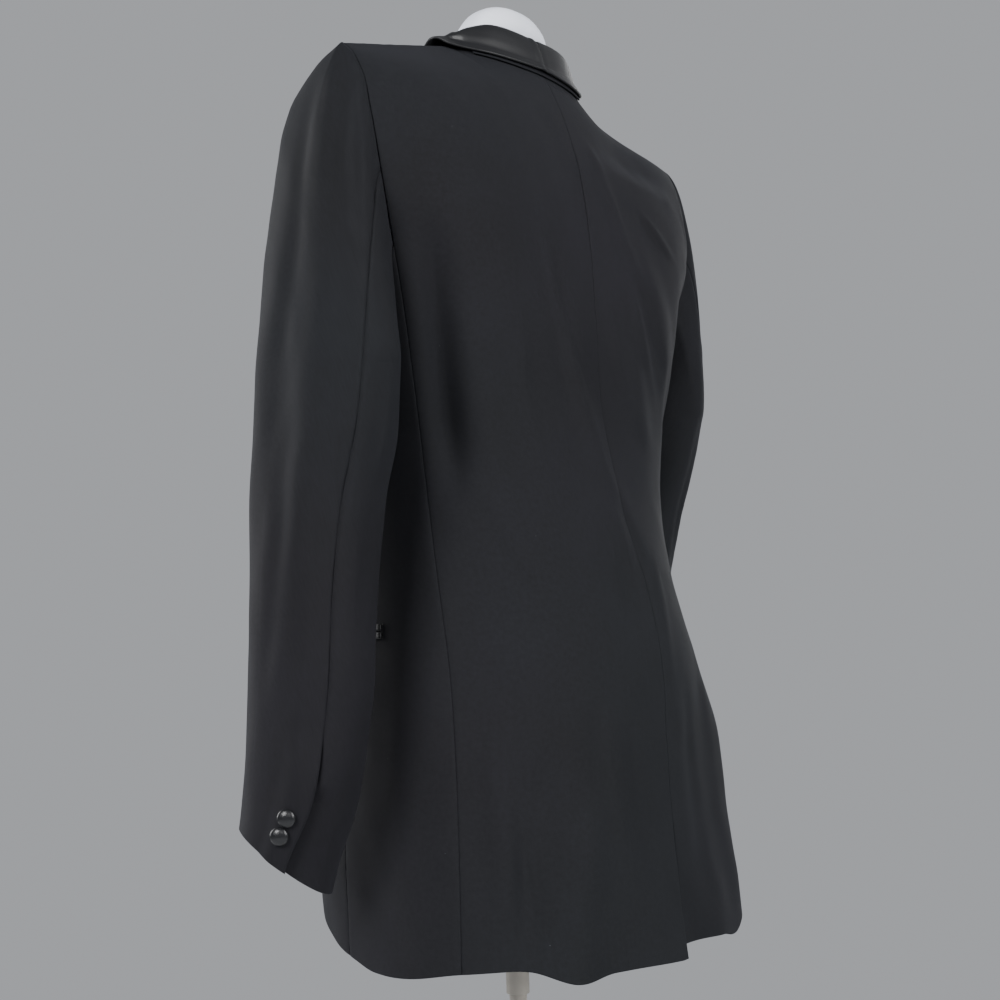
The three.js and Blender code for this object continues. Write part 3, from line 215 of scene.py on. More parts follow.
# The largest folds, each from one level and share of the panel's width to another
BACK_FOLDS = table("side from_level from_share to_level to_share width depth", [
    (LEFT, 1345, 0.84, 1080, 0.88, 15, -15), (RIGHT, 1340, 0.85, 1110, 0.88, 15, -9),
    (LEFT, 1330, 0.22, 1040, 0.02, 22, 4), (RIGHT, 1430, 0.04, 1110, 0.42, 22, 4),
    (RIGHT, 1360, 0.26, 1180, 0.7, 22, 4), (LEFT, 940, 0.62, 735, 0.78, 17, -7),
    (LEFT, 870, 0.48, 735, 0.58, 20, 6), (RIGHT, 980, 0.6, 735, 0.72, 28, 8),
    (RIGHT, 1470, 0.5, 1390, 0.44, 52, -10),
])


def fold_depth(side, u, level):
    depth = np.zeros(np.broadcast(u, level).shape)
    for own, top, top_share, low, low_share, width, deep in zip(*BACK_FOLDS.values()):
        if own != side:
            continue
        along = (top - level) / (top - low)
        across = (u - lerp(top_share, low_share, along)) * BACK_WIDTH / width
        closing = 1 if low <= HEM_HEIGHT else 1 - smoothstep(along, 0.65, 1)
        depth = depth + deep * smoothstep(along, 0, 0.35) * closing * np.exp(-across * across)
    return depth


VENT_TOP = 842
VENT_SPREAD = 34
VENT_DEPTH = 20


def vent_opening(side, u, level):
    way = np.clip((VENT_TOP - level) / (VENT_TOP - HEM_HEIGHT), 0, 1) ** 1.4 * np.exp(-((u / 0.3) ** 2))
    if side == LEFT:
        return stack(0, 3 * way, 0)
    return stack(-VENT_SPREAD * way, -VENT_DEPTH * way, 4 * way)


def back_place(side, u, level):
    u, level = np.broadcast_arrays(np.asarray(u, float), np.asarray(level, float))
    point = back_surface(side, u, level)
    out = ridge_out(side, outward(back_surface, side, u, level, 30), (u - NECK_SHARE) / (1 - NECK_SHARE), level)
    lift = fold_depth(side, u, level)
    point[..., 2] += hem_rise(point, level)
    return point + vent_opening(side, u, level), out, lift


# Distances along a grid of points from one of its edges, in one direction
def run_lengths(grid, axis):
    steps = np.linalg.norm(np.diff(grid, axis=axis), axis=-1)
    first = np.zeros_like(np.take(steps, [0], axis))
    return np.concatenate([first, np.cumsum(steps, axis)], axis)


# Shares from 0 to 1, closer together at both ends, where a cloth edge rounds off
EDGE_STEPS = (0.0, 0.25, 0.6, 1.1, 1.9, 3.2, 5.5)


def edged(length, count):
    ends = np.array(EDGE_STEPS) / length
    middle = np.linspace(ends[-1], 1 - ends[-1], count)
    return np.concatenate([ends[:-1], middle, 1 - ends[:-1][::-1]])


# Long soft creases of the body's cloth, as troughs and ridges. A place on the body is how far round it is
# from the centre back, left positive, and its height.
CREASES = table("from_round from_z to_round to_z bow width depth", [
    (80, 1335, 0, 1130, 7, 7, 1.9), (50, 1262, -14, 1075, 10, 8, 1.3), (62, 1330, 22, 1180, 5, 7, -1.3),
    (2, 1120, 6, 1000, -6, 9, -1.4), (-28, 1060, -14, 950, 4, 8, 1.5), (20, 1080, 36, 985, 4, 8, -1.1),
    (-30, 1430, -42, 1350, 0, 8, 1.2), (-36, 1390, -78, 1290, 6, 7, 1.7), (-50, 1305, -104, 1190, 7, 7, 2.0),
    (-66, 1310, -120, 1215, 6, 8, -1.3), (-90, 1372, -148, 1330, 0, 8, 1.5), (-14, 1300, -60, 1165, 6, 9, 1.3),
    (-120, 1260, -146, 1110, -4, 9, -1.6), (-150, 1180, -150, 1060, 4, 9, 1.4),
    (104, 1260, 72, 1090, 8, 9, 1.2), (128, 1190, 96, 1040, 6, 9, -1.2), (150, 1120, 118, 1010, 5, 9, 1.2),
    (206, 1436, 224, 1378, 2, 5, -1.7), (196, 1412, 222, 1352, 3, 5, -1.4), (212, 1398, 226, 1340, 0, 5, 1.0),
    (-208, 1430, -224, 1380, -2, 6, -1.3), (-196, 1400, -220, 1345, -3, 6, 1.0),
    (166, 965, 163, 742, -4, 7, -2.0), (182, 950, 181, 740, -3, 9, 1.9), (146, 930, 140, 745, 3, 10, 1.3),
    (78, 960, 52, 760, 5, 9, 1.5), (54, 930, 28, 790, 3, 9, -1.2), (108, 900, 112, 742, 4, 10, -1.3),
    (-40, 960, -52, 745, 6, 11, -1.4), (-92, 1000, -112, 745, 4, 12, 1.6), (-130, 940, -140, 745, 3, 10, -1.4),
    (-160, 960, -172, 745, 0, 11, 1.3), (205, 1120, 215, 960, 5, 11, 1.2),
    (-205, 1140, -212, 950, -5, 11, 1.2), (232, 960, 244, 780, 4, 13, -1.3),
    (-236, 950, -246, 770, 4, 13, -1.2), (262, 1260, 300, 1120, -8, 12, 1.4),
    (-262, 1250, -302, 1115, 8, 12, 1.4), (300, 1330, 330, 1160, -8, 14, -1.1),
    (-298, 1320, -332, 1150, 8, 14, -1.1), (350, 1090, 290, 1030, 10, 13, 1.6),
    (-350, 1092, -288, 1025, -10, 13, 1.6), (345, 1070, 300, 960, 10, 12, -1.2),
    (-345, 1070, -302, 965, -10, 12, -1.2),
])


def creases(round_body, height, rows=CREASES):
    depth = np.zeros(np.broadcast(round_body, height).shape)
    for start, top, end, low, bow, width, deep in zip(*rows.values()):
        along = (top - height) / (top - low)
        middle = lerp(start, end, along) + bow * np.sin(math.pi * np.clip(along, 0, 1))
        across = (round_body - middle) / (width * (0.75 + 0.5 * np.clip(along, 0, 1)))
        fade = smoothstep(along, -0.05, 0.3) * (1 - smoothstep(along, 0.6, 1.05))
        swell = np.exp(-across * across) - 0.45 * np.exp(-((across - 1.9) / 1.2) ** 2)
        depth = depth + deep * fade * (0.85 + 0.15 * np.sin(0.045 * height + start)) * swell
    return depth


# Slight unevenness of hanging cloth, drawn out in the direction it hangs
def rumple(a, b, seed, size=0.12):
    draw = np.random.default_rng(seed)
    depth = np.zeros(np.broadcast(a, b).shape)
    for _ in range(14):
        wave = draw.uniform(26, 80)
        turn = draw.normal(0, 0.28)
        stretch = draw.uniform(1.8, 4.0)
        phase_a, phase_b = draw.uniform(0, 6.28, 2)
        across = a * math.cos(turn) + b * math.sin(turn)
        along = b * math.cos(turn) - a * math.sin(turn)
        depth = depth + draw.uniform(0.3, 1) * np.sin(6.28 * across / wave + phase_a) * np.sin(
            6.28 * along / (wave * stretch) + phase_b)
    return size * depth


SEWN_ROUNDNESS = 0.5


# Close to a seam the stitches draw the cloth in, a little unevenly
def seam_pull(distance, along, seed):
    draw = np.random.default_rng(seed)
    pucker = sum(draw.uniform(0.3, 1) * np.sin(6.28 * along / draw.uniform(9, 24) + draw.uniform(0, 6.28))
                 for _ in range(5))
    return -0.32 * np.exp(-((distance / 2.2) ** 2)) + 0.08 * pucker * np.exp(-((distance / 7) ** 2))


def mesh_object(name, points, faces, uv=None):
    mesh = bpy.data.meshes.new(name)
    points = np.asarray(points, float)
    faces = np.asarray(faces, int)
    a, b, c = (points[faces[:, k]] for k in range(3))
    volume = np.einsum("ij,ij->i", a, np.cross(b, c)).sum()
    if faces.shape[1] == 4:
        d = points[faces[:, 3]]
        volume += np.einsum("ij,ij->i", a, np.cross(c, d)).sum()
    if volume < 0:
        faces = faces[:, ::-1]
    size = faces.shape[1]
    mesh.vertices.add(len(points))
    mesh.vertices.foreach_set("co", (points / 1000).ravel())
    mesh.loops.add(faces.size)
    mesh.loops.foreach_set("vertex_index", faces.ravel())
    mesh.polygons.add(len(faces))
    mesh.polygons.foreach_set("loop_start", np.arange(0, faces.size, size))
    if uv is not None:
        layer = mesh.uv_layers.new(name="cloth")
        layer.data.foreach_set("uv", (np.asarray(uv, float)[faces.ravel()] / 1000).ravel())
    mesh.update(calc_edges=True)
    mesh.shade_smooth()
    obj = bpy.data.objects.new(name, mesh)
    bpy.context.scene.collection.objects.link(obj)
    return obj


# A closed shell of cloth between two grids of points. Its pattern is laid along the weave in millimetres.
def shell(name, outer, inner, weave):
    rows, cols = outer.shape[:2]
    points = np.concatenate([outer.reshape(-1, 3), inner.reshape(-1, 3)])
    r, c = np.meshgrid(np.arange(rows - 1), np.arange(cols - 1), indexing="ij")
    at = (r * cols + c).ravel()
    front = np.stack([at, at + 1, at + 1 + cols, at + cols], 1)
    back = front[:, ::-1] + rows * cols
    border = np.concatenate([
        np.arange(cols - 1), np.arange(rows - 1) * cols + cols - 1,
        rows * cols - 1 - np.arange(cols - 1), (rows - 1 - np.arange(rows - 1)) * cols])
    after = np.roll(border, -1)
    rim = np.stack([after, border, border + rows * cols, after + rows * cols], 1)
    flat = np.concatenate([weave.reshape(-1, 2)] * 2)
    return mesh_object(name, points, np.concatenate([front, back, rim]), flat)


# Outer and inner points of a wall whose four edges are rounded off, less so where they are sewn
def rounded_wall(point, out, lift, wall=CLOTH_WALL, free=1):
    radius = 0.4 * wall
    across, up = run_lengths(point, 1), run_lengths(point, 0)
    near = np.minimum.reduce([across, across[:, -1:] - across, up, up[-1:] - up])
    part = np.clip(1 - near / radius, 0, 1)
    drop = 0.48 * wall * (1 - np.sqrt(1 - part * part)) * np.where(free, 1, SEWN_ROUNDNESS)
    outer = point + out * (lift - drop)[..., None]
    inner = point + out * (lift - wall + drop)[..., None]
    return outer, inner


# Material nodes, named by what they do in the cloth
def new_material(name):
    material = bpy.data.materials.new(name)
    material.use_nodes = True
    nodes, links = material.node_tree.nodes, material.node_tree.links
    return material, nodes, links, nodes["Principled BSDF"]


def node(nodes, kind, label, **values):
    made = nodes.new(kind)
    made.label = label
    for key, value in values.items():
        if hasattr(made, key):
            setattr(made, key, value)
        else:
            made.inputs[key].default_value = value
    return made


WOOL_DARK = (0.0062, 0.0065, 0.0078, 1)
WOOL_LIGHT = (0.0132, 0.0138, 0.0166, 1)
LINT = (0.065, 0.068, 0.075, 1)
WARM_DYE = (1.06, 0.985, 1.03, 1)
COOL_DYE = (0.96, 1.015, 1.0, 1)


def wool_material():
    material, nodes, links, shader = new_material("black wool")
    cloth = node(nodes, "ShaderNodeUVMap", "along the weave", uv_map="cloth")
    place = node(nodes, "ShaderNodeTexCoord", "place")
    weft = node(nodes, "ShaderNodeMapping", "twill line")
    weft.inputs["Rotation"].default_value = (0, 0, math.radians(63))
    twill = node(nodes, "ShaderNodeTexWave", "twill", Scale=420.0, Distortion=1.2, Detail=1.0)
    yarn = node(nodes, "ShaderNodeTexNoise", "yarn", Scale=1500.0, Detail=2.0, Roughness=0.7)
    hang = node(nodes, "ShaderNodeTexNoise", "pressed and brushed areas", Scale=7.0, Detail=3.0, Roughness=0.55)
    slub = node(nodes, "ShaderNodeTexNoise", "slubs", Scale=260.0, Detail=3.0, Roughness=0.65)
    tone = node(nodes, "ShaderNodeValToRGB", "wool colour")
    tone.color_ramp.elements[0].color = WOOL_DARK
    tone.color_ramp.elements[0].position = 0.30
    tone.color_ramp.elements[1].color = WOOL_LIGHT
    tone.color_ramp.elements[1].position = 0.72
    mix_tone = node(nodes, "ShaderNodeMix", "areas and slubs", data_type="FLOAT")
    mix_tone.inputs["Factor"].default_value = 0.45
    specks = node(nodes, "ShaderNodeTexVoronoi", "lint", Scale=62.0, Randomness=1.0)
    few = node(nodes, "ShaderNodeTexNoise", "where lint lies", Scale=19.0, Detail=1.0)
    near = node(nodes, "ShaderNodeMath", "size of lint", operation="LESS_THAN")
    near.inputs[1].default_value = 0.026
    often = node(nodes, "ShaderNodeMath", "rare", operation="GREATER_THAN")
    often.inputs[1].default_value = 0.60
    lint = node(nodes, "ShaderNodeMath", "lint mask", operation="MULTIPLY")
    areas = node(nodes, "ShaderNodeTexNoise", "uneven dye", Scale=2.6, Detail=1.0)
    cast = node(nodes, "ShaderNodeValToRGB", "warmer and cooler black")
    cast.color_ramp.elements[0].color = COOL_DYE
    cast.color_ramp.elements[0].position = 0.38
    cast.color_ramp.elements[1].color = WARM_DYE
    cast.color_ramp.elements[1].position = 0.62
    dyed = node(nodes, "ShaderNodeMix", "dyed wool", data_type="RGBA", blend_type="MULTIPLY")
    dyed.inputs["Factor"].default_value = 1.0
    colour = node(nodes, "ShaderNodeMix", "wool with lint", data_type="RGBA")
    colour.inputs[7].default_value = LINT
    rough = node(nodes, "ShaderNodeMapRange", "roughness")
    rough.inputs["To Min"].default_value = 0.62
    rough.inputs["To Max"].default_value = 0.86
    height = node(nodes, "ShaderNodeMath", "twill and yarn", operation="ADD")
    fibre = node(nodes, "ShaderNodeMath", "yarn depth", operation="MULTIPLY")
    fibre.inputs[1].default_value = 0.8
    bump = node(nodes, "ShaderNodeBump", "weave relief", Strength=0.32, Distance=0.0005)
    links.new(cloth.outputs["UV"], weft.inputs["Vector"])
    links.new(weft.outputs["Vector"], twill.inputs["Vector"])
    links.new(cloth.outputs["UV"], yarn.inputs["Vector"])
    links.new(cloth.outputs["UV"], slub.inputs["Vector"])
    links.new(place.outputs["Object"], hang.inputs["Vector"])
    links.new(place.outputs["Object"], specks.inputs["Vector"])
    links.new(place.outputs["Object"], few.inputs["Vector"])
    links.new(hang.outputs["Fac"], mix_tone.inputs[2])
    links.new(slub.outputs["Fac"], mix_tone.inputs[3])
    links.new(mix_tone.outputs[0], tone.inputs["Fac"])
    links.new(specks.outputs["Distance"], near.inputs[0])
    links.new(few.outputs["Fac"], often.inputs[0])
    links.new(near.outputs[0], lint.inputs[0])
    links.new(often.outputs[0], lint.inputs[1])
    links.new(lint.outputs[0], colour.inputs["Factor"])
    links.new(place.outputs["Object"], areas.inputs["Vector"])
    links.new(areas.outputs["Fac"], cast.inputs["Fac"])
    links.new(tone.outputs["Color"], dyed.inputs[6])
    links.new(cast.outputs["Color"], dyed.inputs[7])
    links.new(dyed.outputs[2], colour.inputs[6])
    links.new(colour.outputs[2], shader.inputs["Base Color"])
    links.new(hang.outputs["Fac"], rough.inputs["Value"])
    links.new(rough.outputs["Result"], shader.inputs["Roughness"])
    links.new(twill.outputs["Fac"], height.inputs[0])
    links.new(yarn.outputs["Fac"], fibre.inputs[0])
    links.new(fibre.outputs[0], height.inputs[1])
    links.new(height.outputs[0], bump.inputs["Height"])
    links.new(bump.outputs["Normal"], shader.inputs["Normal"])
    shader.inputs["Specular IOR Level"].default_value = 0.14
    shader.inputs["Sheen Weight"].default_value = 0.025
    shader.inputs["Sheen Roughness"].default_value = 0.45
    shader.inputs["Sheen Tint"].default_value = (0.80, 0.84, 1.0, 1)
    return material


WOOL = wool_material()


def finish_piece(obj, material, slot, *nodes):
    obj.data.materials.append(material)
    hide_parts(*nodes)
    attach(obj, "root")


# How far round the body a panel's edge lies at each level, so that creases run on across the seams
ROUND_LEVELS = np.linspace(HEM_HEIGHT, TOP_LEVEL, 50)


def round_edge(surface, side, shares):
    grid = surface(side, shares[None, :], ROUND_LEVELS[:, None])
    return run_lengths(grid, 1)[:, -1]


def body_round(side, start, point, level):
    return side * (np.interp(level, ROUND_LEVELS, start) + run_lengths(point, 1))


BACK_COLUMNS = 84
PANEL_ROWS = 200
BACK_ROUND = {side: round_edge(back_surface, side, np.linspace(0, 1, 40)) for side in SIDES}
panel_levels = HEM_HEIGHT + (TOP_LEVEL - HEM_HEIGHT) * edged(TOP_LEVEL - HEM_HEIGHT, PANEL_ROWS)
back_shares = np.sort(np.concatenate([edged(BACK_WIDTH, BACK_COLUMNS), [NECK_SHARE]]))
for side, word in SIDES.items():
    u, level = np.meshgrid(back_shares, panel_levels)
    point, out, lift = back_place(side, u, level)
    round_body = body_round(side, 0 * ROUND_LEVELS, point, level)
    across, up = run_lengths(point, 1), run_lengths(point, 0)
    seam = np.minimum(np.where(level > VENT_TOP, across + 1.2, 99), across[:, -1:] - across)
    seam = np.minimum(seam, up[-1:] - up)
    calm = 1 - 0.8 * smoothstep(level, 1400, 1455)
    detail = (creases(round_body, point[..., 2]) + rumple(round_body, point[..., 2], 3)) * calm
    detail = detail + seam_pull(seam, point[..., 2] + point[..., 0], 11)
    outer, inner = rounded_wall(point, out, lift + detail, free=(up < 6) | ((across < 6) & (level < VENT_TOP)))
    name = f"back_{word}"
    obj = shell(name + "_cloth", outer, inner, np.stack([round_body, point[..., 2]], -1))
    finish_piece(obj, WOOL, "wool", name)


# Side bodies. A narrow wool panel under each arm, from the back's seam to the forepart's. Its top edge is
# hollowed for the lower part of the armhole.
UNDERARM_HEIGHT = 1256


def side_surface(side, u, level):
    u, level = np.broadcast_arrays(np.asarray(u, float), np.asarray(level, float))
    rows = []
    for k in range(LEVEL_COUNT):
        row = {name: values[k] for name, values in BODY.items()}
        start = np.array([side * row["back_x"], row["back_y"], row["back_z"]])
        end = np.array([side * row["front_x"], row["front_y"], row["front_z"]])
        rows.append(arc(start, heading(side, row["back_turn"]), end, heading(side, row["front_turn"]), u))
    return spline(BODY["level"], rows, level)


def side_level(u, level):
    top = lerp(UNDERARM_HEIGHT, SEAM_MEETS_ARMHOLE, (2 * u - 1) ** 2)
    return lerp(HEM_HEIGHT, top, (level - HEM_HEIGHT) / (SEAM_MEETS_ARMHOLE - HEM_HEIGHT))


def panel_level_at(u, height):
    top = side_level(u, SEAM_MEETS_ARMHOLE)
    return HEM_HEIGHT + (height - HEM_HEIGHT) * (SEAM_MEETS_ARMHOLE - HEM_HEIGHT) / (top - HEM_HEIGHT)


def side_place(side, u, panel_level):
    u, panel_level = np.broadcast_arrays(np.asarray(u, float), np.asarray(panel_level, float))
    level = side_level(u, panel_level)
    point = side_surface(side, u, level)
    out = outward(side_surface, side, u, level, 0)
    lift = fold_depth(side, 1, level) * (1 - smoothstep(u, 0, 0.5))
    point[..., 2] += hem_rise(point, level)
    return point, out, lift


SIDE_ROUND = {side: BACK_ROUND[side] + round_edge(side_surface, side, np.linspace(0, 1, 20)) for side in SIDES}
side_levels = HEM_HEIGHT + (SEAM_MEETS_ARMHOLE - HEM_HEIGHT) * edged(SEAM_MEETS_ARMHOLE - HEM_HEIGHT, 130)
for side, word in SIDES.items():
    u, panel_level = np.meshgrid(edged(110, 44), side_levels)
    point, out, lift = side_place(side, u, panel_level)
    level = side_level(u, panel_level)
    round_body = body_round(side, BACK_ROUND[side], point, level)
    across, up = run_lengths(point, 1), run_lengths(point, 0)
    seam = np.minimum(np.minimum(across, across[:, -1:] - across), up[-1:] - up)
    detail = creases(round_body, point[..., 2]) + rumple(round_body, point[..., 2], 3)
    detail = detail + seam_pull(seam, point[..., 2], 12)
    outer, inner = rounded_wall(point, out, lift + detail, free=up < 6)
    name = f"side_{word}"
    obj = shell(name + "_cloth", outer, inner, np.stack([round_body, point[..., 2]], -1))
    finish_piece(obj, WOOL, "wool", name)


# Foreparts. The two fronts, cut away in a round corner below the button. The left one closes over the
# right one, and above the button both end at the roll line of the lapels.
FRONT_OVERLAP = 15
HEM_CORNER = 78
CLOSING_LIFT = 1.9
FRONT_EDGE = table("level x", [
    (735, 134), (800, 118), (850, 93), (900, 62), (950, 34), (1000, 6), (1040, -FRONT_OVERLAP),
    (1095, -FRONT_OVERLAP), (1115, -2), (1190, 29), (1250, 41), (1298, 52), (1340, 62), (1385, 72),
    (1422, 80), (1446, 84)])


def front_surface(side, u, level):
    u, level = np.broadcast_arrays(np.asarray(u, float), np.asarray(level, float))
    rows = []
    for k in range(LEVEL_COUNT):
        row = {name: values[k] for name, values in BODY.items()}
        start = np.array([side * row["front_x"], row["front_y"], row["front_z"]])
        end = np.array([0.0, row["chest_y"], row["chest_z"]])
        leave, arrive = heading(side, row["front_turn"]), heading(side, 180)
        edge = float(spline(FRONT_EDGE["level"], FRONT_EDGE["x"], row["level"]))
        reach = np.linalg.norm(end - start)
        stop = 1 - edge / reach
        if edge > 0:
            low, high = 0.0, 1.0
            for _ in range(24):
                stop = (low + high) / 2
                if side * arc(start, leave, end, arrive, stop)[0] > edge:
                    low = stop
                else:
                    high = stop
        at = u * stop
        straight = end + arrive * ((at - 1) * reach)[..., None]
        rows.append(np.where((at <= 1)[..., None], arc(start, leave, end, arrive, np.minimum(at, 1)), straight))
    rows.append(shoulder_seam(side, 1 - u))
    return spline([*BODY["level"], TOP_LEVEL], rows, level)


def closing_lift(side, point):
    near = 1 - smoothstep(side * point[..., 0], 18, 60)
    height = smoothstep(point[..., 2], 900, 980) * (1 - smoothstep(point[..., 2], 1124, 1150))
    return side * CLOSING_LIFT * near * height


def corner_level(u, level):
    rise = HEM_CORNER * (1 - np.sqrt(np.maximum(1 - u * u, 0)))
    return level + rise * (1 - smoothstep(level, HEM_HEIGHT, HEM_HEIGHT + 205))


def front_place(side, u, panel_level):
    u, panel_level = np.broadcast_arrays(np.asarray(u, float), np.asarray(panel_level, float))
    level = corner_level(u, panel_level)
    point = front_surface(side, u, level)
    out = ridge_out(side, outward(front_surface, side, u, level, 30), 1 - u, level)
    lift = closing_lift(side, point)
    point[..., 2] += hem_rise(point, panel_level)
    return point, out, lift


front_shares = edged(200, 70)
for side, word in SIDES.items():
    u, panel_level = np.meshgrid(front_shares, panel_levels)
    point, out, lift = front_place(side, u, panel_level)
    round_body = body_round(side, SIDE_ROUND[side], point, corner_level(u, panel_level))
    across, up = run_lengths(point, 1), run_lengths(point, 0)
    seam = np.minimum(across, up[-1:] - up)
    calm = 1 - 0.8 * smoothstep(point[..., 2], 1400, 1455)
    calm = calm * smoothstep(across[:, -1:] - across, 0, 25)
    detail = (creases(round_body, point[..., 2]) + rumple(round_body, point[..., 2], 3)) * calm
    detail = detail + seam_pull(seam, point[..., 2], 13)
    outer, inner = rounded_wall(point, out, lift + detail, free=(up < 6) | (across[:, -1:] - across < 6))
    name = f"front_{word}"
    obj = shell(name + "_cloth", outer, inner, np.stack([round_body, point[..., 2]], -1))
    finish_piece(obj, WOOL, "wool", name)


# Sleeves. Each is two pieces of wool, an upper and an under sleeve, joined by a hind and a fore seam and
# set into the armhole. The hind seam ends in a cuff vent.
ARMHOLE_CENTRE = {"y": 12, "z": 1355}
BICEPS_HEIGHT = 1200
CUFF_HEIGHT = 832
CUFF_SLANT = 26
CUFF_LOWEST = 127
ARMHOLE_LEVELS = [1298, 1325, 1352, 1380, 1405, 1428, 1446, 1460, 1470]
SIDE_SPOTS = 6
HIND_SPOT = 6
FORE_SPOT = 15
RING_SPOTS = 22
HIND_SEAM = {"biceps": 58, "cuff": 52}
FRONT_SEAM = {"biceps": 262, "cuff": 256}
SLEEVE = table("z out_x left_y right_y half_x half_y", [
    (780, 259, -34, -98, 40, 37), (830, 256, -22, -88, 42, 39), (875, 253, -9, -78, 42, 45),
    (954, 249, 0, -60, 43, 51), (1030, 246, 3, -41, 44, 52), (1100, 243, 7, -26, 44, 57),
    (1150, 241, 14, -12, 43, 63), (1200, 240, 18, 0, 41, 65)])
CUFF_VENT_Q = 1.81
CUFF_VENT_LIFT = 4
CUFF_VENT_SWING = 6
CUFF_UNDERLAP = 7


# A ring of points round the armhole, from the shoulder tip down the back, under the arm and up the front
def armhole_ring(side, spots):
    spots = np.mod(spots, RING_SPOTS)
    down = spline(np.arange(9), ARMHOLE_LEVELS[::-1], np.clip(spots, 0, 8))
    rise = spline(np.arange(9), ARMHOLE_LEVELS, np.clip(spots - 14, 0, 8))
    under = np.clip((spots - 8) / SIDE_SPOTS, 0, 1)
    back = back_place(side, 1.0, down)[0]
    below = side_place(side, under, SEAM_MEETS_ARMHOLE)[0]
    front = front_place(side, 0.0, rise)[0]
    point = np.where((spots < 8)[:, None], back, np.where((spots < 14)[:, None], below, front))
    turn = np.unwrap(np.arctan2(point[:, 1] - ARMHOLE_CENTRE["y"], point[:, 2] - ARMHOLE_CENTRE["z"]))
    return point + [side * 0.3, 0, 0], turn


def sleeve_tube(side, around, share):
    turn = np.radians(around)
    end = CUFF_HEIGHT - CUFF_SLANT * np.cos(turn - math.radians(CUFF_LOWEST))
    z = lerp(BICEPS_HEIGHT, end, share)
    at = {name: spline(SLEEVE["z"], SLEEVE[name], z) for name in ("out_x", "left_y", "right_y", "half_x", "half_y")}
    middle_y = at["left_y"] if side == LEFT else at["right_y"]
    return stack(side * (at["out_x"] + at["half_x"] * np.cos(turn)), middle_y + at["half_y"] * np.sin(turn), z)


# The whole sleeve: q runs from the armhole (0) to the biceps (1) and on to the cuff (2)
def sleeve_grid(side, spots, q):
    ring, turn = armhole_ring(side, spots)
    on_upper = (np.mod(spots, RING_SPOTS) <= HIND_SPOT) | (np.mod(spots, RING_SPOTS) >= FORE_SPOT)
    upper_share = np.mod(spots - FORE_SPOT, RING_SPOTS) / (HIND_SPOT + RING_SPOTS - FORE_SPOT)
    under_share = (np.mod(spots, RING_SPOTS) - HIND_SPOT) / (FORE_SPOT - HIND_SPOT)
    around = {}
    for end in ("biceps", "cuff"):
        upper = lerp(FRONT_SEAM[end] - 360, HIND_SEAM[end], upper_share)
        around[end] = np.where(on_upper, upper, lerp(HIND_SEAM[end], FRONT_SEAM[end], under_share))
    turns = lerp(around["biceps"][None, :], around["cuff"][None, :], np.clip(q - 1, 0, 1)[:, None])
    low = sleeve_tube(side, turns, np.maximum(q - 1, 0)[:, None])
    end = sleeve_tube(side, around["biceps"], 0 * spots)
    down = unit(sleeve_tube(side, around["biceps"], 0 * spots + 0.02) - end)
    high = np.maximum(np.cos(turn), 0)
    flare = np.where(np.sin(turn) > 0, 0.4, 0.12)
    leave = unit(stack(side, flare * np.sin(turn) * (1 - high), 0.04 * high))
    reach = np.linalg.norm(ring - end, axis=-1)
    start_pull = (lerp(0.28, 0.25, high) * reach)[None, :, None]
    end_pull = (0.75 * reach)[None, :, None]
    t = np.clip(q, 0, 1)[:, None, None]
    t2, t3 = t * t, t * t * t
    head = ((2 * t3 - 3 * t2 + 1) * ring + (t3 - 2 * t2 + t) * start_pull * leave
            + (3 * t2 - 2 * t3) * end + (t3 - t2) * end_pull * down)
    return np.where((q >= 1)[:, None, None], low, head), turns


SLEEVE_FOLDS = table("around from_q to_q width depth", [
    (20, 0.55, 1.6, 12, 3), (-12, 0.5, 1.3, 12, -3), (80, 0.9, 1.5, 14, -4)])


def sleeve_fold(around, q):
    around = np.where(around > 180, around - 360, around)
    depth = 0
    for middle, start, end, width, deep in zip(*SLEEVE_FOLDS.values()):
        fade = smoothstep(q, start, start + 0.25) * (1 - smoothstep(q, end - 0.3, end))
        depth = depth + deep * fade * np.exp(-(((around - middle) / width) ** 2))
    return depth


# Softer creases of the sleeves: from one direction and way along to another
SLEEVE_CREASES = table("from_around from_q to_around to_q width depth", [
    (-34, 0.18, -8, 0.75, 9, -1.7), (-8, 0.12, 14, 0.66, 8, 1.2), (24, 0.14, 44, 0.6, 7, -1.5),
    (-4, 0.9, 6, 1.5, 10, -1.4), (34, 0.8, 30, 1.45, 9, 1.3), (12, 1.2, -10, 1.75, 9, -1.2),
    (40, 1.35, 26, 1.85, 8, 1.1), (-46, 0.8, -34, 1.4, 12, 1.3), (-70, 1.0, -56, 1.6, 12, -1.4),
    (66, 1.05, 52, 1.4, 8, -1.3), (84, 1.15, 70, 1.6, 9, 1.2), (112, 0.9, 96, 1.5, 12, -1.5),
    (150, 0.8, 160, 1.4, 14, 1.3), (-120, 0.9, -104, 1.5, 14, -1.4), (-88, 0.2, -66, 0.8, 11, 1.4)])


def sleeve_creases(around, q, shift):
    around = np.where(around > 180, around - 360, around)
    depth = 0
    for start, top, end, low, width, deep in zip(*SLEEVE_CREASES.values()):
        along = (q - top) / (low - top)
        off = (around - lerp(start, end, along) - shift * np.sign(deep)) / width
        fade = smoothstep(along, -0.05, 0.35) * (1 - smoothstep(along, 0.6, 1.05))
        depth = depth + deep * fade * (np.exp(-off * off) - 0.4 * np.exp(-((off - 1.8) / 1.2) ** 2))
    return depth


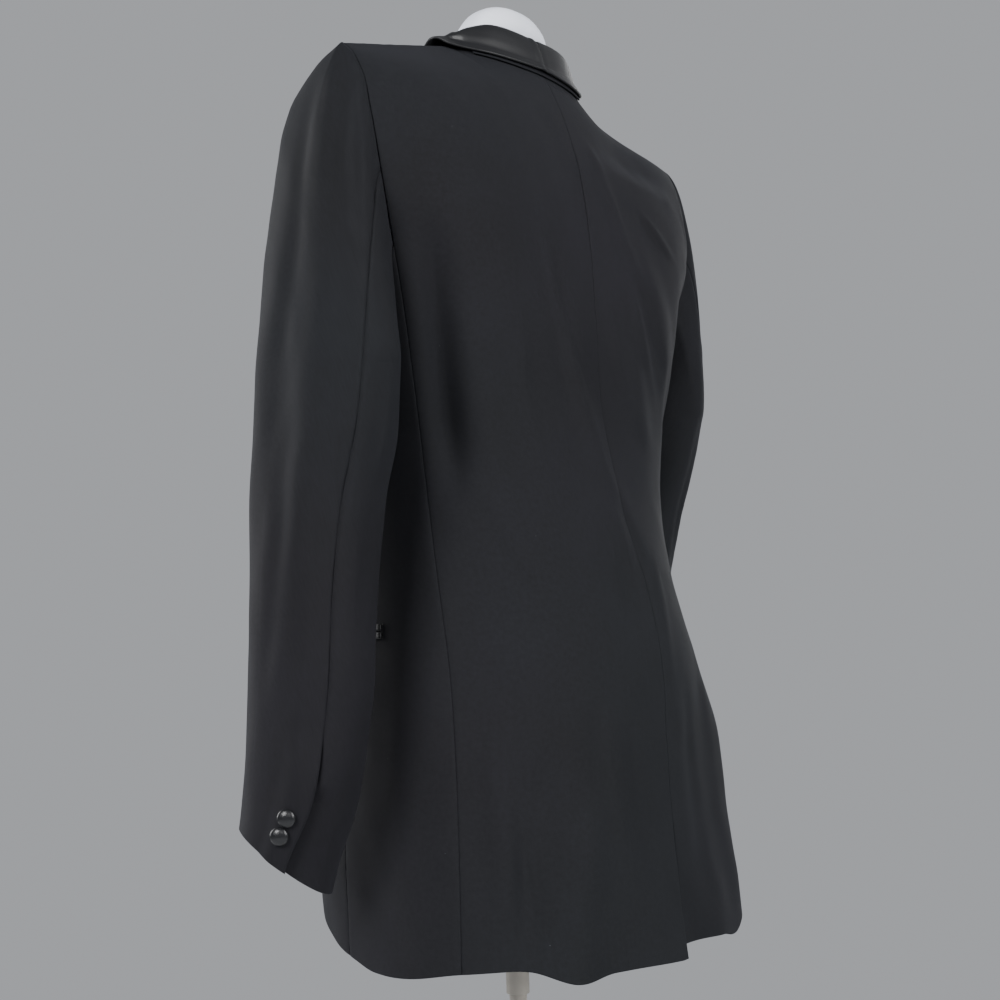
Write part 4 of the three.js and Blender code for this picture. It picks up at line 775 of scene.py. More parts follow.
SPOT_STEPS = 6
sleeve_q = np.concatenate([edged(170, 60), 1 + edged(400, 130)[1:]])
upper_places = {}
for side, word in SIDES.items():
    spots = np.arange(RING_SPOTS * SPOT_STEPS) / SPOT_STEPS
    grid, turns = sleeve_grid(side, spots, sleeve_q)
    wrapped = np.concatenate([grid[:, -1:], grid, grid[:, :1]], 1)
    down = np.gradient(grid, axis=0)
    out = unit(np.cross(wrapped[:, 2:] - wrapped[:, :-2], down)) * -side
    q = np.broadcast_to(sleeve_q[:, None], turns.shape)
    lift = sleeve_fold(turns, q) + sleeve_creases(turns, q, 0 if side == LEFT else 7)
    halves = {
        "upper": np.arange(FORE_SPOT * SPOT_STEPS, (RING_SPOTS + HIND_SPOT) * SPOT_STEPS + 1),
        "under": np.arange(HIND_SPOT * SPOT_STEPS, FORE_SPOT * SPOT_STEPS + 1),
    }
    for half, columns in halves.items():
        columns = np.mod(columns, RING_SPOTS * SPOT_STEPS)
        point, facing, own_lift, own_q = grid[:, columns], out[:, columns], lift[:, columns], q[:, columns]
        share = np.broadcast_to(np.linspace(0, 1, len(columns)), own_q.shape)
        if half == "upper":
            vent = smoothstep(own_q, CUFF_VENT_Q - 0.09, CUFF_VENT_Q) * smoothstep(share, 0.74, 0.9)
            own_lift = own_lift + CUFF_VENT_LIFT * vent
            swing = CUFF_VENT_SWING * smoothstep(own_q, CUFF_VENT_Q, 2) * smoothstep(share, 0.5, 1)
            forward = unit(np.roll(point, 3, 1) - point)
            forward[:, :3] = forward[:, 3:4]
            point = point + forward * swing[..., None]
        else:
            reach = smoothstep(own_q, CUFF_VENT_Q, CUFF_VENT_Q + 0.05) * (1 - smoothstep(share, 0, 0.2))
            beyond = unit(point[:, :1] - point[:, 5:6]) * (CUFF_UNDERLAP * reach)[..., None]
            point = point + beyond - facing * (0.8 * CUFF_UNDERLAP * reach)[..., None]
        along = run_lengths(point, 0)
        across = run_lengths(point, 1)
        seam = np.minimum(np.where(own_q < CUFF_VENT_Q, across if half == "under" else 99, 99), along)
        far = across[:, -1:] - across
        seam = np.minimum(seam, np.where(own_q < CUFF_VENT_Q, far, 99) if half == "upper" else far)
        detail = rumple(across + 300 * (half == "under"), point[..., 2], 7 + side, 0.18) + seam_pull(seam, along, 14)
        outer, inner = rounded_wall(point, facing, own_lift + detail, free=own_q > CUFF_VENT_Q)
        upper_places[side, half] = (point, facing, own_lift + detail, along, across, own_q)
        name = f"sleeve_{word}_{half}"
        obj = shell(name + "_cloth", outer, inner, np.stack([across, along], -1))
        finish_piece(obj, WOOL, "wool", name)


# Shawl collar. One long piece of satin on each side, seamed at the centre back. It rises inside the neckline
# as the stand, folds over and falls onto the jacket, and runs on down the forepart as the lapel.
COLLAR_WALL = 2.2
FALL_PAST_NECK_POINT = 0.16
COLLAR_CLEARANCE = 0.6
LAPEL_CLEARANCE = 1.4
UNDERCOLLAR_WALL = 1.2
LAPEL_END_HEIGHT = 1140
LAPEL = table("level width stand", [
    (1140, 15, 2.2), (1175, 43, 2.2), (1215, 61, 2.2), (1255, 71, 2.2), (1300, 75, 2.4), (1350, 70, 3),
    (1385, 60, 4), (1420, 45, 4.5), (1446, 32, 5), (1460, 26, 6)])
LAPEL_STATIONS = [1463, 1446, 1428, 1405, 1380, 1352, 1325, 1298, 1278, 1255, 1235, 1215, 1195, 1175, 1157, 1140]
NECK = table("share stand upright fall_left fall_right", [
    (0, 22, 0.8, 11, 11), (0.25, 24, 0.8, 10.8, 13), (0.5, 23, 0.8, 9.6, 13.5), (0.75, 14.5, 0.5, 7.6, 9.5),
    (1, 7, 0.3, 0, 0)])
NECK_STATIONS = [0, 0.125, 0.25, 0.375, 0.5, 0.625, 0.75, 0.875, 1]
SATIN_DARK = (0.0070, 0.0073, 0.0083, 1)
SATIN_LIGHT = (0.0125, 0.0130, 0.0147, 1)


def satin_material(name, smoothest, roughest):
    material, nodes, links, shader = new_material(name)
    cloth = node(nodes, "ShaderNodeUVMap", "along the weave", uv_map="cloth")
    place = node(nodes, "ShaderNodeTexCoord", "place")
    squeeze = node(nodes, "ShaderNodeMapping", "long floats")
    squeeze.inputs["Scale"].default_value = (1.0, 9.0, 1.0)
    floats = node(nodes, "ShaderNodeTexNoise", "satin floats", Scale=420.0, Detail=3.0, Roughness=0.6)
    waves = node(nodes, "ShaderNodeTexNoise", "pressing", Scale=26.0, Detail=2.0)
    tone = node(nodes, "ShaderNodeValToRGB", "satin colour")
    tone.color_ramp.elements[0].color = SATIN_DARK
    tone.color_ramp.elements[0].position = 0.32
    tone.color_ramp.elements[1].color = SATIN_LIGHT
    tone.color_ramp.elements[1].position = 0.70
    rough = node(nodes, "ShaderNodeMapRange", "roughness")
    rough.inputs["To Min"].default_value = smoothest
    rough.inputs["To Max"].default_value = roughest
    bump = node(nodes, "ShaderNodeBump", "satin relief", Strength=0.22, Distance=0.0003)
    links.new(cloth.outputs["UV"], squeeze.inputs["Vector"])
    links.new(squeeze.outputs["Vector"], floats.inputs["Vector"])
    links.new(place.outputs["Object"], waves.inputs["Vector"])
    links.new(waves.outputs["Fac"], rough.inputs["Value"])
    links.new(rough.outputs["Result"], shader.inputs["Roughness"])
    links.new(floats.outputs["Fac"], tone.inputs["Fac"])
    links.new(tone.outputs["Color"], shader.inputs["Base Color"])
    links.new(floats.outputs["Fac"], bump.inputs["Height"])
    links.new(bump.outputs["Normal"], shader.inputs["Normal"])
    shader.inputs["Specular IOR Level"].default_value = 0.42
    shader.inputs["Sheen Weight"].default_value = 0.06
    shader.inputs["Sheen Roughness"].default_value = 0.3
    return material


SATIN = satin_material("black satin", 0.36, 0.50)


# How the fall lies on the cloth below at a station: a point at a share of its width and a clearance
def collar_station(place, side, seam, edge, upright):
    base, out, lift = place(side, *seam)
    base = base + out * lift[..., None]

    def lying(share, clear):
        point, facing, own = place(side, lerp(seam[0], edge[0], share), lerp(seam[1], edge[1], share))
        return point + facing * (own + clear)[..., None]

    across = unit(lying(1, 0) - base)
    rise = unit(-across + stack(0, 0, upright))
    face = unit(out - rise * (out * rise).sum(-1, keepdims=True))
    corner = unit(face + out)

    def spot(up, off):
        return base + rise * np.asarray(up)[..., None] + face * np.asarray(off)[..., None]

    return base, across, out, corner, lying, spot


def neck_station(side, t):
    t = np.asarray(t, float)
    stand, upright, fall = (spline(NECK["share"], NECK[name], t)
                            for name in ("stand", "upright", "fall_left" if side == LEFT else "fall_right"))
    edge = (t * (NECK_SHARE + FALL_PAST_NECK_POINT * (1 - NECK_SHARE)), TOP_LEVEL - fall)
    return stand, collar_station(back_place, side, (t * NECK_SHARE, TOP_LEVEL + 0 * t), edge, upright)


def collar_sections(side):
    t = np.array(NECK_STATIONS, float)
    level = np.array(LAPEL_STATIONS, float)
    length = np.linalg.norm(front_surface(side, 1.0, level) - front_surface(side, 0.0, level), axis=-1)
    width, stand = (spline(LAPEL["level"], LAPEL[name], level) for name in ("width", "stand"))
    upright = NECK["upright"][-1] * smoothstep(level, 1385, TOP_LEVEL)
    lapel = collar_station(front_place, side, (1 + 0 * level, level), (1 - width / length, level), upright)
    neck_stand, neck = neck_station(side, t)
    layers = [(neck, neck_stand, 1 + 0.5 * t * t, COLLAR_CLEARANCE), (lapel, stand, 0 * level, LAPEL_CLEARANCE)]
    sections = []
    for (base, across, out, corner, lying, spot), stand, layered, clearance in layers:
        inside = 2.2 + 2.1 + COLLAR_WALL / 2
        outside = clearance + COLLAR_WALL / 2 + layered * (UNDERCOLLAR_WALL + 1.5)
        beside = corner * (outside + 1.5)[..., None]
        sections.append(np.stack([
            base + across * 1.2 - out * (inside + 0.6),
            base - out * inside,
            spot(0.5 * stand, -inside + 0.2),
            spot(stand, -0.78 * inside + 0 * stand),
            spot(stand + 2.4, 0 * stand),
            spot(0.92 * stand, outside + 0.7),
            spot(0.3 * stand, 0 * stand) + beside,
            lying(0.3, outside + 0.4),
            lying(0.65, outside + 0.2),
            lying(1, outside)], 1))
    return np.concatenate(sections)


# A grid of points drawn finer, with smooth curves through its points in both directions
def finer(grid, rows, cols):
    for axis, count in ((0, rows), (1, cols)):
        knots = np.arange(grid.shape[axis])
        moved = np.moveaxis(grid, axis, 0)
        lines = np.broadcast_to(moved[:, None], (len(knots), len(count), *moved.shape[1:]))
        at = np.broadcast_to((knots[-1] * count)[:, None], lines.shape[1:3])
        grid = np.moveaxis(spline(knots, lines, at), 0, axis)
    return grid


def grid_normals(grid, hint, square_start=False):
    along = np.gradient(grid, axis=0)
    if square_start:
        along[0, :, 1:] = 0
    return unit(np.cross(along, np.gradient(grid, axis=1))) * hint


for side, word in SIDES.items():
    middle = finer(collar_sections(side), edged(520, 190), edged(110, 60))
    out = grid_normals(middle, side, True)
    along, across = run_lengths(middle, 0), run_lengths(middle, 1)
    detail = 0.12 * rumple(across, along, 21 + side, 1.0) * smoothstep(across, 20, 40)
    detail = detail + (0.9 if side == LEFT else 0.3) * np.exp(-(((along - 6) / 4) ** 2))
    outer, inner = rounded_wall(middle, out, detail + COLLAR_WALL / 2, COLLAR_WALL)
    name = f"shawl_{word}"
    obj = shell(name + "_satin", outer, inner, np.stack([across, along], -1))
    finish_piece(obj, SATIN, "satin", name)


# Undercollar. A strip of wool between the stand and the fall of the collar, from one neck point to the other.
UNDERCOLLAR_REACH = 1.3
UNDERCOLLAR_END = 0.67


def undercollar_sections(side, t):
    stand, (base, across, out, corner, lying, spot) = neck_station(side, t)
    lift = COLLAR_CLEARANCE + 0.1 + 0.8 * t * t + UNDERCOLLAR_WALL / 2
    one = 1 + 0 * t
    return np.stack([
        spot(1.5 + 3 * t, -0.8 * one),
        spot(0.55 * stand, -0.7 * one),
        spot(stand - 2.4, -0.6 * one),
        spot(stand - 1.2, 0.5 * one),
        spot(0.84 * stand, 1.6 * one),
        spot(0.28 * stand, 0 * one) + corner * (lift + 0.4 + 0.3 * t)[..., None],
        lying(0.5, lift + 0.2 + 0.3 * t),
        lying(lerp(UNDERCOLLAR_REACH, 0.94, t / 0.75), lift + 0.75 * t)], 1)


ways = np.linspace(0, UNDERCOLLAR_END, 7)
sections = np.concatenate([undercollar_sections(RIGHT, ways)[:0:-1], undercollar_sections(LEFT, ways)])
middle = finer(sections, edged(240, 110), edged(55, 30))
out = grid_normals(middle, 1)
along, across = run_lengths(middle, 0), run_lengths(middle, 1)
outer, inner = rounded_wall(middle, out, UNDERCOLLAR_WALL / 2 + 0 * along, UNDERCOLLAR_WALL)
FELLED_COLUMN = -8
FELLED_EDGE = (outer[6:-6, FELLED_COLUMN], out[6:-6, FELLED_COLUMN])
obj = shell("undercollar_cloth", outer, inner, np.stack([across, along], -1))
finish_piece(obj, WOOL, "wool", "undercollar")


# Covered buttons. Satin is drawn over a domed metal shell and tucked in behind: one closes the front, and
# two stand beside each cuff vent.
FRONT_BUTTON = {"radius": 10, "height": 7}
CUFF_BUTTON = {"radius": 7, "height": 5.5}
BUTTON_CLEARANCE = 0.4
FRONT_BUTTON_HEIGHT = 1088
CUFF_BUTTONS = {"top": (1.9, 13.5), "low": (1.942, 12)}


BUTTON_SATIN = satin_material("stretched satin", 0.20, 0.30)


def lathe(profile, segments, closed=False):
    profile = np.array(profile, float)
    turn = np.linspace(0, 2 * math.pi, segments, endpoint=False)
    points, faces, rings = [], [], []
    for radius, height in profile:
        start = sum(len(p) for p in points)
        if radius < 1e-6:
            points.append(np.array([[0, 0, height]]))
            rings.append([start] * segments)
        else:
            points.append(stack(radius * np.cos(turn), radius * np.sin(turn), height))
            rings.append(list(range(start, start + segments)))
    if closed:
        rings.append(rings[0])
    for low, high in zip(rings, rings[1:]):
        for i in range(segments):
            j = (i + 1) % segments
            if low[0] != low[1]:
                faces.append((low[i], low[j], high[j]))
            if high[0] != high[1]:
                faces.append((low[i], high[j], high[i]))
    return np.concatenate(points), np.array(faces)


def button_mesh(name, size, point, out):
    radius, height = size["radius"], size["height"]
    rim = 0.28 * height
    profile = [(0, 0), (0.80 * radius, 0), (0.90 * radius, 0.10 * height), (0.975 * radius, 0.19 * height)]
    for step in np.linspace(0, 1, 15)[:-1]:
        turn = step * math.pi / 2
        profile.append((radius * math.cos(turn), rim + (height - rim) * math.sin(turn)))
    points, faces = lathe(profile + [(0, height)], 48)
    turn = np.arctan2(points[:, 1], points[:, 0])
    low = np.exp(-(((points[:, 2] - 0.12 * height) / (0.16 * height)) ** 2))
    points[:, :2] *= (1 - 0.02 * low * (0.5 + 0.5 * np.sin(13 * turn)))[:, None]
    up = np.asarray(out, float)
    side_way = unit(np.cross([0.0, 0.0, 1.0], up))
    frame_axes = np.stack([side_way, np.cross(up, side_way), up])
    placed = points @ frame_axes + point
    return mesh_object(name, placed, faces, points[:, :2] * 1.6)


def place_button(name, size, point, out, lift, slot_node):
    spot = point + out * (lift + BUTTON_CLEARANCE)
    obj = button_mesh(name, size, spot, out)
    finish_piece(obj, BUTTON_SATIN, "satin", slot_node)


point, out, lift = front_place(LEFT, 0.93, float(FRONT_BUTTON_HEIGHT))
place_button("front_button_satin", FRONT_BUTTON, point, out, lift, "front_button")
for side, word in SIDES.items():
    point, facing, lift, along, across, own_q = upper_places[side, "upper"]
    for name, (q, ahead) in CUFF_BUTTONS.items():
        row = int(np.argmin(np.abs(own_q[:, 0] - q)))
        column = int(np.argmin(np.abs(across[row, -1] - ahead - across[row])))
        near = (slice(row - 3, row + 4), slice(column - 4, column + 5))
        reach = np.linalg.norm(point[near] - point[row, column], axis=-1) < 1.3 * CUFF_BUTTON["radius"]
        high = ((point[near] + facing[near] * lift[near][..., None] - point[row, column]) @ facing[row, column])
        place_button(f"cuff_button_{word}_{name}_satin", CUFF_BUTTON, point[row, column], facing[row, column],
                     float(high[reach].max()), f"cuff_button_{word}_{name}")


# Hip pockets. Each mouth is bound by two narrow jets of satin that lie over the side body and forepart.
POCKET_HEIGHT = 1002
JET = {"width": 5.5, "gap": 0.8, "wall": 1.5, "clear": 0.8}
POCKET_SIDE_SHARE = 0.5
POCKET_FRONT_SHARE = 0.5


def girth(side, level):
    own = np.arange(POCKET_SIDE_SHARE, 1.0001, 0.05)
    fore = np.arange(0.025, POCKET_FRONT_SHARE + 0.0001, 0.025)
    a = side_place(side, own, panel_level_at(own, level))
    b = front_place(side, fore, level)
    return [np.concatenate(pair) for pair in zip(a, b)]


for side, word in SIDES.items():
    for name, sign in (("upper", 1), ("lower", -1)):
        middle = POCKET_HEIGHT + sign * (JET["width"] + JET["gap"]) / 2
        rows = []
        for level in middle + JET["width"] * (np.linspace(0, 1, 9) - 0.5):
            point, facing, lift = girth(side, level)
            length = run_lengths(point[None], 1)[0]
            at = np.linspace(0, length[-1], 90)
            rows.append(np.stack([np.interp(at, length, line) for line in (*point.T, *facing.T, lift)], -1))
        rows = np.array(rows)
        point, facing, lift = rows[..., :3], unit(rows[..., 3:6]), rows[..., 6]
        outer, inner = rounded_wall(point, facing, lift + JET["clear"] + JET["wall"], JET["wall"])
        obj = shell(f"pocket_jet_{word}_{name}_satin", outer, inner,
                    np.stack([run_lengths(point, 1), run_lengths(point, 0)], -1))
        finish_piece(obj, SATIN, "satin", f"pocket_jet_{word}_{name}")


# Stitching. Black silk thread: slanted felling stitches hold the lower edge of the undercollar, purl stitches
# bind the buttonhole of the left forepart, and short rows of tacks close the ends of the pocket mouths.
THREAD_LIFT = 0.12
BUTTONHOLE = {"length": 23, "half_gap": 1.1}
TACK_HEIGHT = 11


def thread_material():
    material, nodes, links, shader = new_material("black silk thread")
    place = node(nodes, "ShaderNodeTexCoord", "place")
    strands = node(nodes, "ShaderNodeTexNoise", "twisted strands", Scale=3200.0, Detail=2.0)
    tone = node(nodes, "ShaderNodeValToRGB", "thread colour")
    tone.color_ramp.elements[0].color = (0.007, 0.0072, 0.0082, 1)
    tone.color_ramp.elements[0].position = 0.35
    tone.color_ramp.elements[1].color = (0.022, 0.0225, 0.025, 1)
    tone.color_ramp.elements[1].position = 0.70
    bump = node(nodes, "ShaderNodeBump", "twist", Strength=0.3, Distance=0.0002)
    links.new(place.outputs["Object"], strands.inputs["Vector"])
    links.new(strands.outputs["Fac"], tone.inputs["Fac"])
    links.new(tone.outputs["Color"], shader.inputs["Base Color"])
    links.new(strands.outputs["Fac"], bump.inputs["Height"])
    links.new(bump.outputs["Normal"], shader.inputs["Normal"])
    shader.inputs["Roughness"].default_value = 0.45
    return material


def stitch_tree():
    tree = bpy.data.node_groups.new("row of stitches", "GeometryNodeTree")
    sockets = (("Seam line", "Geometry"), ("Spacing", "Float"), ("Stitch length", "Float"), ("Thickness", "Float"),
               ("Slant", "Float"), ("Unevenness", "Float"), ("Seed", "Int"), ("Thread", "Material"))
    for name, kind in sockets:
        tree.interface.new_socket(name, in_out="INPUT", socket_type="NodeSocket" + kind)
    tree.interface.new_socket("Stitches", in_out="OUTPUT", socket_type="NodeSocketGeometry")
    nodes, links = tree.nodes, tree.links
    given = nodes.new("NodeGroupInput").outputs
    line = node(nodes, "GeometryNodeMeshToCurve", "seam line")
    spots = node(nodes, "GeometryNodeCurveToPoints", "a spot for each stitch", mode="LENGTH")
    facing = node(nodes, "GeometryNodeInputNamedAttribute", "outwards from the cloth", data_type="FLOAT_VECTOR")
    facing.inputs["Name"].default_value = "facing"
    axes = node(nodes, "FunctionNodeAxesToRotation", "along the seam", primary_axis="Z", secondary_axis="X")
    wander = node(nodes, "FunctionNodeRandomValue", "uneven slant", data_type="FLOAT")
    slant = node(nodes, "ShaderNodeMath", "slant and its unevenness", operation="ADD")
    lean = node(nodes, "FunctionNodeAxisAngleToRotation", "lean across the seam")
    turned = node(nodes, "FunctionNodeRotateRotation", "slanted", rotation_space="LOCAL")
    opposite = node(nodes, "ShaderNodeMath", "other way", operation="MULTIPLY")
    opposite.inputs[1].default_value = -1.0
    shortest = node(nodes, "ShaderNodeMath", "shortest", operation="SUBTRACT")
    shortest.inputs[0].default_value = 1.0
    uneven = node(nodes, "FunctionNodeRandomValue", "uneven length", data_type="FLOAT")
    uneven.inputs["Max"].default_value = 1.0
    length = node(nodes, "ShaderNodeMath", "own length", operation="MULTIPLY")
    size = node(nodes, "ShaderNodeCombineXYZ", "size of the stitch")
    bead = node(nodes, "GeometryNodeMeshUVSphere", "rounded stitch", Segments=6, Rings=4, Radius=0.5)
    sewn = node(nodes, "GeometryNodeInstanceOnPoints", "sewn on")
    real = node(nodes, "GeometryNodeRealizeInstances", "real stitches")
    smooth = node(nodes, "GeometryNodeSetShadeSmooth", "smooth")
    dyed = node(nodes, "GeometryNodeSetMaterial", "thread")
    links.new(given["Seam line"], line.inputs["Mesh"])
    links.new(line.outputs["Curve"], spots.inputs["Curve"])
    links.new(given["Spacing"], spots.inputs["Length"])
    links.new(facing.outputs["Attribute"], axes.inputs["Primary Axis"])
    links.new(spots.outputs["Tangent"], axes.inputs["Secondary Axis"])
    links.new(given["Unevenness"], opposite.inputs[0])
    for chance in (wander, uneven):
        links.new(given["Seed"], chance.inputs["Seed"])
    links.new(opposite.outputs[0], random_socket(wander, "Min"))
    links.new(given["Unevenness"], random_socket(wander, "Max"))
    links.new(given["Slant"], slant.inputs[0])
    links.new(random_output(wander), slant.inputs[1])
    lean.inputs["Axis"].default_value = (0, 0, 1)
    links.new(slant.outputs[0], lean.inputs["Angle"])
    links.new(axes.outputs["Rotation"], turned.inputs["Rotation"])
    links.new(lean.outputs["Rotation"], turned.inputs["Rotate By"])
    links.new(given["Unevenness"], shortest.inputs[1])
    links.new(shortest.outputs[0], random_socket(uneven, "Min"))
    links.new(random_output(uneven), length.inputs[0])
    links.new(given["Stitch length"], length.inputs[1])
    links.new(length.outputs[0], size.inputs["X"])
    links.new(given["Thickness"], size.inputs["Y"])
    links.new(given["Thickness"], size.inputs["Z"])
    links.new(spots.outputs["Points"], sewn.inputs["Points"])
    links.new(bead.outputs["Mesh"], sewn.inputs["Instance"])
    links.new(turned.outputs["Rotation"], sewn.inputs["Rotation"])
    links.new(size.outputs["Vector"], sewn.inputs["Scale"])
    links.new(sewn.outputs["Instances"], real.inputs["Geometry"])
    links.new(real.outputs["Geometry"], smooth.inputs["Geometry"])
    links.new(smooth.outputs["Geometry"], dyed.inputs["Geometry"])
    links.new(given["Thread"], dyed.inputs["Material"])
    links.new(dyed.outputs["Geometry"], nodes.new("NodeGroupOutput").inputs["Stitches"])
    return tree


# A random value node keeps a socket of each name for every kind of value, and only the used one is enabled
def random_socket(chance, name):
    return next(socket for socket in chance.inputs if socket.name == name and socket.enabled)


def random_output(chance):
    return next(socket for socket in chance.outputs if socket.enabled)


THREAD = thread_material()
STITCHES = stitch_tree()


# Rows of stitches along lines, each given by its points and the directions outwards from the cloth there
def sew(name, lines, slot="wool", **sizes):
    points = np.concatenate([line for line, facing in lines])
    facings = np.concatenate([facing for line, facing in lines])
    edges, start = [], 0
    for line, facing in lines:
        edges += [(start + i, start + i + 1) for i in range(len(line) - 1)]
        start += len(line)
    seam = bpy.data.meshes.new(name + "_line")
    seam.from_pydata(((points + facings * THREAD_LIFT) / 1000).tolist(), edges, [])
    seam.attributes.new("facing", "FLOAT_VECTOR", "POINT").data.foreach_set("vector", facings.ravel())
    guide = bpy.data.objects.new(name + "_line", seam)
    bpy.context.scene.collection.objects.link(guide)
    sewing = guide.modifiers.new("stitches", "NODES")
    sewing.node_group = STITCHES
    values = {**sizes, "Thread": THREAD}
    for socket in STITCHES.interface.items_tree:
        if socket.in_out == "INPUT" and socket.name in values:
            sewing[socket.identifier] = values[socket.name]
    ready = bpy.context.evaluated_depsgraph_get()
    mesh = bpy.data.meshes.new_from_object(guide.evaluated_get(ready))
    mesh.name = name
    guide.modifiers.remove(sewing)
    bpy.data.objects.remove(guide)
    made = bpy.data.objects.new(name, mesh)
    bpy.context.scene.collection.objects.link(made)
    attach(made, "root")


sew("undercollar_felling", [FELLED_EDGE], **{
    "Spacing": 0.0034, "Stitch length": 0.0030, "Thickness": 0.00042, "Slant": 0.9, "Unevenness": 0.28, "Seed": 5})

# The buttonhole runs from the button away from the front edge, bound on both sides and round both ends
one_share = 0.1 / float(np.linalg.norm(
    front_place(LEFT, 0.93, float(FRONT_BUTTON_HEIGHT))[0] - front_place(LEFT, 0.83, float(FRONT_BUTTON_HEIGHT))[0]))
turn = np.linspace(0, 2 * math.pi, 60)
half = BUTTONHOLE["length"] / 2
inwards = half - (half - BUTTONHOLE["half_gap"]) * np.sign(np.cos(turn)) * np.abs(np.cos(turn)) ** 0.5
inwards = inwards - BUTTONHOLE["half_gap"] * np.cos(turn)
beside = BUTTONHOLE["half_gap"] * np.sign(np.sin(turn)) * np.abs(np.sin(turn)) ** 0.35
point, facing, lift = front_place(LEFT, 0.93 - inwards * one_share, FRONT_BUTTON_HEIGHT + beside)
sew("front_buttonhole", [(point + facing * lift[:, None], facing)], slot="satin", **{
    "Spacing": 0.00075, "Stitch length": 0.0021, "Thickness": 0.0007, "Slant": math.pi / 2, "Unevenness": 0.12,
    "Seed": 8})

for side, word in SIDES.items():
    tacks = []
    for end in (0, -1):
        rows = [girth(side, level) for level in POCKET_HEIGHT + TACK_HEIGHT * (np.linspace(0, 1, 12) - 0.5)]
        point, facing, lift = (np.array([row[k][end] for row in rows]) for k in range(3))
        inner = np.array([row[0][1 if end == 0 else -2] for row in rows])
        spot = point + facing * lift[:, None]
        tacks.append((spot + unit(spot - inner) * 0.6, unit(facing)))
    sew(f"pocket_tacks_{word}", tacks, slot="satin", **{
        "Spacing": 0.0008, "Stitch length": 0.0024, "Thickness": 0.0006, "Slant": math.pi / 2,
        "Unevenness": 0.15, "Seed": 9})


# Dress form. A smooth limbless torso with a neck, moulded and covered in pale cloth.
FORM_ROWS = table("z half_x back front", [
    (806, 60, 60, -55), (808, 128, 104, -92), (822, 146, 122, -104), (870, 152, 126, -108),
    (930, 149, 122, -108), (990, 138, 112, -104), (1050, 127, 98, -100), (1115, 126, 92, -100),
    (1180, 136, 90, -106), (1240, 152, 91, -109), (1300, 172, 91, -106), (1350, 190, 88, -97),
    (1390, 203, 82, -82), (1420, 208, 74, -62)])
FORM_SHOULDERS = table("share back front", [
    (0.86, 49, -14), (0.7, 46, -14), (0.52, 44, -14), (0.36, 42, -18), (0.22, 40, -24)])
FORM_NECK = table("z half_x middle back front", [
    (1481, 70, 8, 39, -28), (1493, 62, 13, 39, -26), (1507, 57, 18, 42, -20), (1519, 54, 20, 44, -15),
    (1529, 50, 22, 46, -8), (1538, 43, 23, 44, -1), (1545, 31, 24, 40, 8), (1549.5, 16, 24, 33, 15)])
SHOULDER_CLEARANCE = 2.3
SHOULDER_FALL = 10
FORM_ROUNDNESS = 0.88
FORM_SEGMENTS = 112


def form_rows():
    rows = [(z, z, half, 8, back, front) for z, half, back, front in zip(*FORM_ROWS.values())]
    for share, back, front in zip(*FORM_SHOULDERS.values()):
        left, right = shoulder_seam(LEFT, share), shoulder_seam(RIGHT, share)
        low = min(left[2], right[2]) - 2.2 - SHOULDER_CLEARANCE
        rows.append((low - SHOULDER_FALL, low, left[0], left[1], back, front))
    rows += [(z, z, half, middle, back, front) for z, half, middle, back, front in zip(*FORM_NECK.values())]
    return np.array(rows)


def form_material():
    material, nodes, links, shader = new_material("pale form cover")
    place = node(nodes, "ShaderNodeTexCoord", "place")
    knit = node(nodes, "ShaderNodeTexNoise", "cover grain", Scale=900.0, Detail=2.0)
    marks = node(nodes, "ShaderNodeTexNoise", "handling", Scale=9.0, Detail=4.0)
    tone = node(nodes, "ShaderNodeValToRGB", "cover colour")
    tone.color_ramp.elements[0].color = (0.78, 0.82, 0.92, 1)
    tone.color_ramp.elements[0].position = 0.25
    tone.color_ramp.elements[1].color = (0.86, 0.89, 0.97, 1)
    tone.color_ramp.elements[1].position = 0.70
    bump = node(nodes, "ShaderNodeBump", "cover relief", Strength=0.12, Distance=0.0004)
    links.new(place.outputs["Object"], knit.inputs["Vector"])
    links.new(place.outputs["Object"], marks.inputs["Vector"])
    links.new(marks.outputs["Fac"], tone.inputs["Fac"])
    links.new(tone.outputs["Color"], shader.inputs["Base Color"])
    links.new(knit.outputs["Fac"], bump.inputs["Height"])
    links.new(bump.outputs["Normal"], shader.inputs["Normal"])
    shader.inputs["Roughness"].default_value = 0.55
    return material


rows = form_rows()
count = np.linspace(0, 1, 150)
smooth_rows = np.stack([spline(np.arange(len(rows)), rows[:, k], count * (len(rows) - 1)) for k in range(6)], -1)
turn = np.linspace(0, 2 * math.pi, FORM_SEGMENTS, endpoint=False)
sideways = np.sign(np.cos(turn)) * np.abs(np.cos(turn)) ** FORM_ROUNDNESS
forward = np.sign(np.sin(turn)) * np.abs(np.sin(turn)) ** FORM_ROUNDNESS
z, side_z, half, middle, back, front = (smooth_rows[:, k, None] for k in range(6))
depth = np.where(forward > 0, back - middle, middle - front)
rings = stack(half * sideways, middle + depth * forward, lerp(z, side_z, sideways ** 2))
points = np.concatenate([rings.reshape(-1, 3), [[0, 2, rows[0, 0]], [0, 24, rows[-1, 0] + 1]]])
faces = []
ring_count = len(rings)
for r in range(ring_count - 1):
    for i in range(FORM_SEGMENTS):
        j = (i + 1) % FORM_SEGMENTS
        a, b = r * FORM_SEGMENTS, (r + 1) * FORM_SEGMENTS
        faces += [(a + i, a + j, b + j), (a + i, b + j, b + i)]
for i in range(FORM_SEGMENTS):
    j = (i + 1) % FORM_SEGMENTS
    top = (ring_count - 1) * FORM_SEGMENTS
    faces += [(j, i, ring_count * FORM_SEGMENTS), (top + i, top + j, ring_count * FORM_SEGMENTS + 1)]
obj = mesh_object("form_torso_cover", points, faces)
finish_piece(obj, form_material(), "form", "form_torso")


